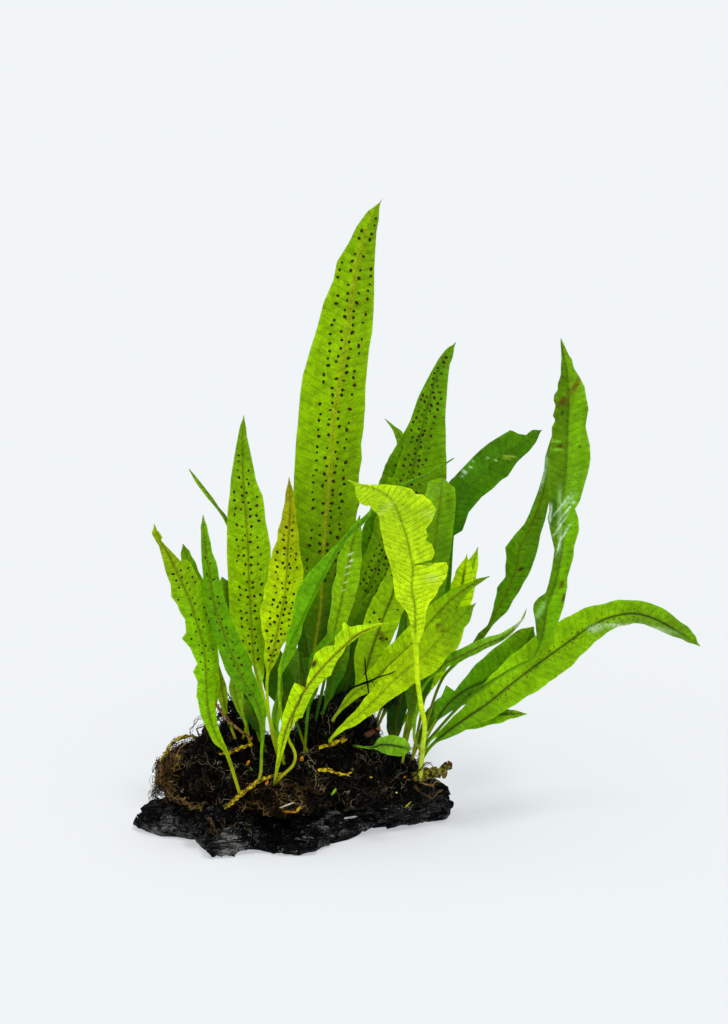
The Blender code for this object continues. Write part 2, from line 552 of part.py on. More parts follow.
def make_mat():
    """The mound of roots, hollowed underneath to sit on the wood."""
    lumps = []
    for i, (centre, size) in enumerate(MAT_LUMPS):
        bm = bmesh.new()
        place = Matrix.Translation(Vector(centre) * MM) @ Matrix.Diagonal((*(Vector(size) * MM), 1))
        bmesh.ops.create_icosphere(bm, subdivisions=3 if i == 0 else 2, radius=1, matrix=place)
        for vert in bm.verts:
            out = vert.co - Vector(centre) * MM
            vert.co += out * LUMP_ROUGHNESS * noise.noise(vert.co / LUMP_GRAIN)
        lumps.append(make_cutter(add_object(f"mat_lump_{i}", bm, "roots")))
    mat = bpy.data.objects.new("root_mat", joined_mesh(lumps[0], lumps[1:]))
    bpy.context.scene.collection.objects.link(mat)
    seat = bpy.data.objects.new("wood_seat", wood_form("seat", None, 2 * GAP))
    bpy.context.scene.collection.objects.link(seat)
    add_boolean(mat, "DIFFERENCE", make_cutter(seat))
    return mat


def surface_of(obj):
    bpy.context.view_layer.update()
    return BVHTree.FromObject(obj, bpy.context.evaluated_depsgraph_get())


def on_surface(surface, across, up, stand_off):
    """The point seen there on a surface, or the nearest one past its edge, lifted off it."""
    hit, normal, _, _ = surface.ray_cast(EYE, sight_line(across, up))
    if hit is None:
        hit, normal, _, _ = surface.find_nearest(placed(across, up, 0))
    return hit + normal * stand_off


def lying_course(thickness, marks, mat):
    """A rhizome's course over the mat, just clear of it."""
    clear = thickness * sum(RHIZOME_KNOBS) * MM + GAP
    points = smooth_curve([on_surface(mat, across, up, clear) for across, up in marks], RHIZOME_STEP)
    for i, point in enumerate(points):
        near, normal, _, away = mat.find_nearest(point)
        if away < clear or (point - near).dot(normal) < 0:
            points[i] = near + normal * clear
    return points


def make_rhizome(name, thickness, points):
    """A knobbly creeping stem."""
    mean, swing = RHIZOME_KNOBS
    bm = bmesh.new()
    rings = []
    for i, (point, along) in enumerate(zip(points, tangents(points))):
        side = along.cross(Vector((0, 1, 0.3))).normalized()
        top = side.cross(along)
        radius = thickness * MM * (mean + swing * math.sin(KNOB_TURN * i))
        if i in (0, len(points) - 1):
            radius *= RHIZOME_END
        ring = []
        for j in range(RHIZOME_SIDES):
            angle = 2 * math.pi * j / RHIZOME_SIDES
            ring.append(bm.verts.new(point + (side * math.cos(angle) + top * math.sin(angle)) * radius))
        rings.append(ring)
    skin_rings(bm, rings)
    return add_object(name, bm, "rhizome")


def rooted(points, reach, surfaces):
    """How many of the points lie before the last spot where the stipe meets a surface."""
    start = 0
    for i, point in enumerate(points[: round(ROOTING_REACH / FINE_STEP)]):
        clear = max(STIPE_RADIUS, reach[i]) + GAP
        for surface in surfaces:
            near, normal, _, away = surface.find_nearest(point)
            if away < clear or (point - near).dot(normal) < 0:
                start = i + 1
    return start


def footing(point, surfaces):
    """The spot of the mat or a rhizome that a foot standing clear of them grows from, if it does."""
    spots = [surface.find_nearest(point) for surface in surfaces]
    near, normal, _, _ = min(spots, key=lambda spot: spot[3])
    return [near] if (point - near).dot(normal) > 0 else []


def ring_places(marks, start, end):
    """Which of the fine points carry a ring: the first, each station, and the middle of long spans."""
    places = [start]
    for mark in range(math.ceil(marks[start] + NEAREST_STATION), end + 1):
        place = min(range(start, len(marks)), key=lambda i: abs(marks[i] - mark))
        span = (place - places[-1]) * FINE_STEP
        if span > LONGEST_SPAN:
            places.append((place + places[-1]) // 2)
        places.append(place)
    return places


def frond_section(half, share, fold):
    """Six corners across a frond: a round stipe where it is narrow, else a folded blade with a midrib."""
    narrow, wide = BLADE_STARTS
    flat = max(0.0, min(1.0, (half / STIPE_RADIUS - narrow) / (wide - narrow)))
    if share > 0.5:
        flat = 1.0
    margin = (STIPE_RADIUS * (1 - flat) + MARGIN_THICKNESS * flat) / 2
    midrib = STIPE_RADIUS * (1 - flat) + MIDRIB_THICKNESS / 2 * flat * (1 - MIDRIB_TAPER * share)
    lift = half * math.tan(fold) * flat
    return [
        (-half, lift + margin), (0, midrib), (half, lift + margin),
        (half, lift - margin), (0, -midrib), (-half, lift - margin),
    ]


def make_frond(name, frond, surfaces):
    """One frond, from where it leaves the mat or a rhizome to its tip."""
    spine = frond["spine"]
    stations = [placed(*spot[:3]) for spot in spine]
    widths = [spot[3] * MM for spot in spine]
    foot = footing(stations[0], surfaces)
    stations = foot + stations
    widths = widths[: len(foot)] + widths
    points, marks = marked_curve(stations, FINE_STEP)
    directions = tangents(points)
    turn_foot, turn_tip = (math.radians(turn) for turn in frond["turn"])
    turns = [turn_foot + (turn_tip - turn_foot) * i / len(points) for i in range(len(points))]
    shown = [max(LEAST_SHOWN, abs(math.cos(turn))) for turn in turns]
    halves = [width_at(widths, mark) / 2 / share for mark, share in zip(marks, shown)]
    start = rooted(points, halves, surfaces)
    bm = bmesh.new()
    rings = []
    for i in ring_places(marks, start, len(stations) - 1):
        along = directions[i]
        side = Matrix.Rotation(turns[i], 3, along) @ along.cross(points[i] - EYE).normalized()
        face = side.cross(along)
        section = frond_section(halves[i], i / len(points), math.radians(frond["fold"]))
        rings.append([bm.verts.new(points[i] + side * x + face * z) for x, z in section])
    skin_rings(bm, rings)
    return add_object(name, bm, "young_frond" if name in YOUNG_FRONDS else "frond")


def make_old_stipe(surfaces):
    points = smooth_curve([placed(*spot) for spot in OLD_STIPE], FINE_STEP)
    points = points[rooted(points, [0] * len(points), surfaces) :]
    points = points[:: len(points) // (OLD_STIPE_RINGS - 1)]
    bm = bmesh.new()
    rings = []
    for point, along in zip(points, tangents(points)):
        side = along.cross(point - EYE).normalized()
        face = side.cross(along)
        ring = []
        for j in range(OLD_STIPE_SIDES):
            angle = 2 * math.pi * j / OLD_STIPE_SIDES
            out = side * math.cos(angle) + face * math.sin(angle)
            ring.append(bm.verts.new(point + out * OLD_STIPE_RADIUS))
        rings.append(ring)
    skin_rings(bm, rings)
    return add_object("old_stipe", bm, "dry_stalk")


def main():
    clear_scene()
    make_driftwood()
    mat = make_mat()
    mat_surface = surface_of(mat)
    surfaces = [mat_surface]
    for name, (thickness, marks) in RHIZOMES.items():
        course = lying_course(thickness, marks, mat_surface)
        surfaces.append(surface_of(make_rhizome(name, thickness, course)))
    for name, (thickness, marks) in FREE_RHIZOMES.items():
        course = smooth_curve([placed(*spot) for spot in marks], RHIZOME_STEP)
        surfaces.append(surface_of(make_rhizome(name, thickness, course)))
    for name, frond in FRONDS.items():
        make_frond(name, frond, surfaces)
    make_old_stipe(surfaces)


main()
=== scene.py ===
import math
from types import SimpleNamespace

import bmesh
import bpy
import numpy as np
from mathutils import Matrix, Vector, noise
from mathutils.bvhtree import BVHTree


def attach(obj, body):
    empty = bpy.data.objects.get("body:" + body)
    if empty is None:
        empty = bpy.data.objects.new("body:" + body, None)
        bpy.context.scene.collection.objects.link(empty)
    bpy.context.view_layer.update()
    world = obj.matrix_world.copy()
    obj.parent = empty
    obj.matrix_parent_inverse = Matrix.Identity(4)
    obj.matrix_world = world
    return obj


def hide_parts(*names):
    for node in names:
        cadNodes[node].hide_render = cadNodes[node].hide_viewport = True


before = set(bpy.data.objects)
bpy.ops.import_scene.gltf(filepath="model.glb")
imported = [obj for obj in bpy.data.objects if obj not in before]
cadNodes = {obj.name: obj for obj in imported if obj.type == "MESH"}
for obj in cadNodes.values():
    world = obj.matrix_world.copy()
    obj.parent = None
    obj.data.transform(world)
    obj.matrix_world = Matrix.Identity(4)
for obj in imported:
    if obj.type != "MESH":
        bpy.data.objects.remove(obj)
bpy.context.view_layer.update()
mm = 0.001
print("frame loaded:", len(cadNodes), "nodes")

# The photograph's view. Fronds and small bits are placed on its sheet: mm across and up from the
# origin, square to the line of sight, and a depth in mm behind the origin.
view = {
    "pitch": math.radians(14),
    "distance": 1200,
    "centre": (37, 163),
    "sheetHeight": 512,
    "sensor": 36,
    "clipEnd": 100,
}


def viewAxes():
    right = Vector((1, 0, 0))
    up = Vector((0, math.sin(view["pitch"]), math.cos(view["pitch"])))
    forward = Vector((0, math.cos(view["pitch"]), -math.sin(view["pitch"])))
    across, high = view["centre"]
    return right, up, forward, (right * across + up * high - forward * view["distance"]) * mm


sheetRight, sheetUp, sheetForward, eye = viewAxes()


def sightLine(across, up):
    return ((sheetRight * across + sheetUp * up) * mm - eye).normalized()


def placed(across, up, depth):
    # the point seen at that spot of the sheet, depth mm behind the origin
    line = sightLine(across, up)
    return eye + line * ((depth * mm - eye.y) / line.y)


def onSheet(points):
    # where points in the room show on the sheet, in mm
    rays = points - np.array(eye)
    flat = rays * (view["distance"] / (rays @ np.array(sheetForward)))[:, None]
    centre = np.array(view["centre"])
    return np.stack([flat @ np.array(sheetRight), flat @ np.array(sheetUp)], axis=1) + centre


def setCamera():
    camera = bpy.data.objects.new("camera", bpy.data.cameras.new("camera"))
    bpy.context.scene.collection.objects.link(camera)
    axes = Matrix((sheetRight, sheetUp, -sheetForward)).transposed().to_4x4()
    camera.matrix_world = Matrix.Translation(eye) @ axes
    camera.data.sensor_width = view["sensor"]
    camera.data.lens = view["sensor"] * view["distance"] / view["sheetHeight"]
    camera.data.clip_end = view["clipEnd"]
    bpy.context.scene.camera = camera


setCamera()
print("camera set")


def paint(red, green, blue):
    # a colour as a picture's 0 to 255, turned into what shaders take
    shares = [value / 255 for value in (red, green, blue)]
    return tuple(v / 12.92 if v < 0.04045 else ((v + 0.055) / 1.055) ** 2.4 for v in shares) + (1.0,)


def addNode(tree, kind, inputs=None, **settings):
    node = tree.nodes.new(kind)
    for name, value in settings.items():
        setattr(node, name, value)
    for key, value in (inputs or {}).items():
        if isinstance(value, bpy.types.NodeSocket):
            tree.links.new(value, node.inputs[key])
        else:
            node.inputs[key].default_value = value
    return node


def outOf(tree, kind, inputs=None, **settings):
    return addNode(tree, kind, inputs, **settings).outputs[0]


def calc(tree, operation, *values):
    return outOf(tree, "ShaderNodeMath", dict(enumerate(values)), operation=operation)


def times(tree, first, second):
    return calc(tree, "MULTIPLY", first, second)


def calcVector(tree, operation, *values):
    return outOf(tree, "ShaderNodeVectorMath", dict(enumerate(values)), operation=operation)


def scaled(tree, vector, amount):
    return outOf(tree, "ShaderNodeVectorMath", {0: vector, 3: amount}, operation="SCALE")


def combined(tree, x, y, z=0.0):
    return outOf(tree, "ShaderNodeCombineXYZ", {0: x, 1: y, 2: z})


def ranged(tree, value, low, high, toLow=0.0, toHigh=1.0, smooth=False):
    kind = "SMOOTHSTEP" if smooth else "LINEAR"
    levels = {0: value, 1: low, 2: high, 3: toLow, 4: toHigh}
    return outOf(tree, "ShaderNodeMapRange", levels, interpolation_type=kind)


def grainOf(tree, vector, scale, detail=2.0, roughness=0.5, distortion=0.0, output="Fac"):
    settings = {"Vector": vector, "Scale": scale, "Detail": detail}
    settings.update({"Roughness": roughness, "Distortion": distortion})
    return addNode(tree, "ShaderNodeTexNoise", settings).outputs[output]


def mixed(tree, share, first, second, blend="MIX"):
    inputs = {0: share, 6: first, 7: second}
    return addNode(tree, "ShaderNodeMix", inputs, data_type="RGBA", blend_type=blend).outputs[2]


def rampOf(tree, value, stops):
    node = addNode(tree, "ShaderNodeValToRGB", {0: value})
    points = node.color_ramp.elements
    while len(points) < len(stops):
        points.new(0.5)
    for point, (place, colour) in zip(points, stops):
        point.position = place
        point.color = colour
    return node.outputs["Color"]


def inRoomOf(tree):
    return addNode(tree, "ShaderNodeTexCoord").outputs["Object"]


def markOf(tree, label, output="Fac"):
    # what the mesh carries under that name
    return addNode(tree, "ShaderNodeAttribute", attribute_name=label).outputs[output]


def startMaterial(name, shine, **sockets):
    # a material with its shine and other plain values on the shader's own sockets
    made = bpy.data.materials.new(name)
    made.use_nodes = True
    tree = made.node_tree
    shader = tree.nodes["Principled BSDF"]
    shader.inputs["Specular IOR Level"].default_value = shine
    for socket, value in sockets.items():
        shader.inputs[socket].default_value = value
    return made, tree, shader


def wire(tree, source, shader, socket):
    tree.links.new(source, shader.inputs[socket])


def addBump(tree, shader, height, distance, strength=1.0):
    inputs = {"Height": height, "Distance": distance, "Strength": strength}
    wire(tree, addNode(tree, "ShaderNodeBump", inputs).outputs["Normal"], shader, "Normal")


def startTree(name, numbers):
    # an empty Geometry Nodes tree whose inputs are a geometry and named numbers
    tree = bpy.data.node_groups.new(name, "GeometryNodeTree")
    tree.interface.new_socket(name="Geometry", in_out="INPUT", socket_type="NodeSocketGeometry")
    for label, value in numbers.items():
        kind = "NodeSocketInt" if isinstance(value, int) else "NodeSocketFloat"
        tree.interface.new_socket(name=label, in_out="INPUT", socket_type=kind).default_value = value
    tree.interface.new_socket(name="Geometry", in_out="OUTPUT", socket_type="NodeSocketGeometry")
    return tree, tree.nodes.new("NodeGroupInput").outputs


def endTree(tree, geometry, material):
    solid = outOf(tree, "GeometryNodeRealizeInstances", {0: geometry})
    smooth = outOf(tree, "GeometryNodeSetShadeSmooth", {0: solid})
    dressed = outOf(tree, "GeometryNodeSetMaterial", {0: smooth, 2: material})
    tree.links.new(dressed, tree.nodes.new("NodeGroupOutput").inputs[0])


def placeOf(tree):
    return outOf(tree, "GeometryNodeInputPosition")


def normalOf(tree):
    return outOf(tree, "GeometryNodeInputNormal")


def named(tree, label, kind="FLOAT"):
    return outOf(tree, "GeometryNodeInputNamedAttribute", {0: label}, data_type=kind)


def stored(tree, geometry, label, value, kind="FLOAT"):
    inputs = {0: geometry, 2: label, 3: value}
    return outOf(tree, "GeometryNodeStoreNamedAttribute", inputs, data_type=kind)


def standing(tree, normal, angle):
    # stood up along the normal and spun about it
    tilt = outOf(tree, "FunctionNodeAlignRotationToVector", {2: normal}, axis="Z")
    spin = outOf(tree, "FunctionNodeAxisAngleToRotation", {0: (0, 0, 1), 1: angle})
    inputs = {0: tilt, 1: spin}
    return outOf(tree, "FunctionNodeRotateRotation", inputs, rotation_space="LOCAL")


def chancesOf(tree, seed):
    # each draw has a step of its own on top of the seed, and can go by an element's number
    def chance(low, high, step, number=None):
        inputs = {2: low, 3: high, 8: calc(tree, "ADD", seed, float(step))}
        if number is not None:
            inputs[7] = number
        return addNode(tree, "FunctionNodeRandomValue", inputs).outputs[1]

    return chance


def addPiece(name, mesh):
    piece = bpy.data.objects.new(name, mesh)
    bpy.context.scene.collection.objects.link(piece)
    return piece


def settle(piece, modifier):
    # puts the modifier's result in the place of the piece's mesh
    graph = bpy.context.evaluated_depsgraph_get()
    mesh = bpy.data.meshes.new_from_object(
        piece.evaluated_get(graph), preserve_all_data_layers=True, depsgraph=graph
    )
    piece.modifiers.remove(modifier)
    piece.data = mesh


def grown(name, carrier, tree, values):
    # the carrier's mesh put through a tree, as a plain mesh
    piece = addPiece(name, carrier)
    modifier = piece.modifiers.new(tree.name, "NODES")
    modifier.node_group = tree
    for item in tree.interface.items_tree:
        if item.in_out == "INPUT" and item.name in values:
            modifier[item.identifier] = type(item.default_value)(values[item.name])
    settle(piece, modifier)
    return piece


def cadCopy(names, swell=0.0):
    # one merged mesh from copies of CAD nodes, pushed out along its normals
    bm = bmesh.new()
    for name in names:
        bm.from_mesh(cadNodes[name].data)
    bmesh.ops.remove_doubles(bm, verts=bm.verts, dist=0.01 * mm)
    bm.normal_update()
    shifts = [vert.normal * swell for vert in bm.verts]
    for vert, shift in zip(bm.verts, shifts):
        vert.co += shift
    return bm


def meshFrom(bm, name):
    mesh = bpy.data.meshes.new(name)
    bm.to_mesh(mesh)
    bm.free()
    return mesh


def remeshed(name, bm, voxel):
    piece = addPiece(name, meshFrom(bm, name))
    modifier = piece.modifiers.new("remesh", "REMESH")
    modifier.mode = "VOXEL"
    modifier.voxel_size = voxel
    settle(piece, modifier)
    return piece


def pointsOf(mesh):
    spots = np.empty(len(mesh.vertices) * 3)
    mesh.vertices.foreach_get("co", spots)
    return spots.reshape(-1, 3)


def pushed(piece, heightAt):
    # moves every point of a mesh along its normal by heightAt(point)
    mesh = piece.data
    spots = pointsOf(mesh)
    outs = np.empty(spots.size)
    mesh.vertex_normals.foreach_get("vector", outs)
    heights = np.array([heightAt(Vector(spot)) for spot in spots])
    mesh.vertices.foreach_set("co", (spots + outs.reshape(-1, 3) * heights[:, None]).ravel())
    mesh.update()


def markSpots(mesh, label, spots, lowest):
    # a value at every point, from soft spots of the sheet: (across, up, reach) in mm and strength
    flat = onSheet(pointsOf(mesh))
    level = np.zeros(len(flat))
    for (across, up, reach), strength in spots:
        level += strength * np.exp(-((flat - (across, up)) ** 2).sum(axis=1) / reach**2)
    mesh.attributes.new(label, "FLOAT", "POINT").data.foreach_set("value", np.clip(level, lowest, 1))


def finishPiece(piece, material, nodes=(), sharp=None):
    mesh = piece.data
    mesh.materials.clear()
    mesh.materials.append(material)
    mesh.shade_smooth()
    if sharp:
        mesh.set_sharp_from_angle(angle=math.radians(sharp))
    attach(piece, "root")
    if nodes:
        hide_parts(*nodes)


def surfacesOf(*starts):
    # the CAD nodes whose names start so, ready for rays
    surfaces = []
    for name, node in cadNodes.items():
        if name.startswith(starts):
            bm = bmesh.new()
            bm.from_mesh(node.data)
            surfaces.append(BVHTree.FromBMesh(bm))
            bm.free()
    return surfaces


def firstHit(surfaces, start, way, reach=100.0):
    # what a ray meets first within reach, in metres
    hits = [surface.ray_cast(start, way, reach) for surface in surfaces]
    return min((hit for hit in hits if hit[0] is not None), key=lambda hit: hit[3], default=None)


# What every frond shares, in mm and shares of a whole. A frond's own entry below goes before these.
# rowStep, stipeStep: between rows along the blade and the stipe; columns: on each side of the midrib.
# crowding: above 1, the columns stand closer at the midrib; stipeRound: how far round a stipe they go.
# bladeStarts: half widths, in stipe radii, where a stipe starts to flatten and where it is all blade.
# bladeFrom: share of the length where every frond turns to blade, and over how much of it.
# leastShown: share of its width that even a blade seen from the edge is taken to show.
# ribTaper: share of its height that a rib loses to the tip; backRib: its height on the back.
# foldCurve: 0 folds a blade straight, more bends it round near the midrib.
# veinSlope, veinBend: mm up for each mm out, and more the further out; quiltFade: how soon the relief
# between veins is full, from rib and margin.
# veinWarp, ruffleDrift: how much, and over how many mm, veins and ruffle stray.
# ruffleUneven: the ruffle's usual strength, and how it strays; ruffleFull: half width where it is full.
# ruffleLanes: how far the waves of both halves shift from frond to frond.
# scallopFine: a finer scallop's share, and how much finer it is.
# traceEnd: share of the width that is left past the end of a traced margin.
# footDepth: how deep a stalk goes into what it grows from; footReach: how far it may run on to it.
# green, foot, tip and rib are its colours; the foot's fades out over footShare of the length.
# dots: (from mm, to mm, mm between rows, columns, share kept) of spore dots along the blade.
# dotSize, dotGap: a dot's radius, and between the columns of dots.
# edges: traced margins, as points of the sheet, on the viewer's left and right.
# skew: how far the midrib runs to the right of the middle, as a share of the half width.
# sides: how bright the viewer's left and right halves are; a half below 1 is a painted shade, where the
# blade turns from the light.
# marks: stains, and painted glints, sheen and shadow, as (across, up) on the sheet, mm long and wide, their
# slope and colour.
# sharp: degrees above which an edge is drawn hard; mapUnit: mm of leaf to a unit of its flat map.
frondShape = {
    "rowStep": 0.7,
    "stipeStep": 1.6,
    "columns": 8,
    "crowding": 1.25,
    "stipeRadius": 0.75,
    "stipeFlatness": 0.85,
    "stipeRound": 0.42,
    "bladeStarts": (1.2, 3.2),
    "bladeFrom": (0.42, 0.1),
    "leastShown": 0.35,
    "marginThickness": 0.3,
    "middleThickness": 0.5,
    "ribHeight": 0.42,
    "ribWidth": 0.85,
    "ribTaper": 0.7,
    "backRib": 0.7,
    "foldCurve": 0.2,
    "veinGap": 3.4,
    "veinSlope": 0.45,
    "veinBend": 0.004,
    "veinWarp": (0.8, 11),
    "veinRelief": 0.1,
    "quiltFade": (6, 5),
    "ruffle": 0.65,
    "ruffleLength": 19,
    "ruffleDrift": (0.9, 24),
    "ruffleUneven": (0.7, 0.9, 21),
    "ruffleLanes": (0.37, 0.61),
    "ruffleFull": 6,
    "scallop": 0.05,
    "scallopLength": 7,
    "scallopFine": (0.5, 2.6),
    "traceEnd": 0.2,
    "footDepth": 3,
    "footReach": 14,
    "tipShare": 0.035,
    "green": (104, 160, 4),
    "foot": (150, 160, 20),
    "footShare": 0.22,
    "tip": (112, 160, 8),
    "rib": (96, 104, 6),
    "ribShade": 0.7,
    "dotSize": 0.68,
    "dotGap": 3.6,
    "edges": {},
    "skew": 0.0,
    "sides": (1, 1),
    "marks": [],
    "sharp": 50,
    "mapUnit": 10,
}

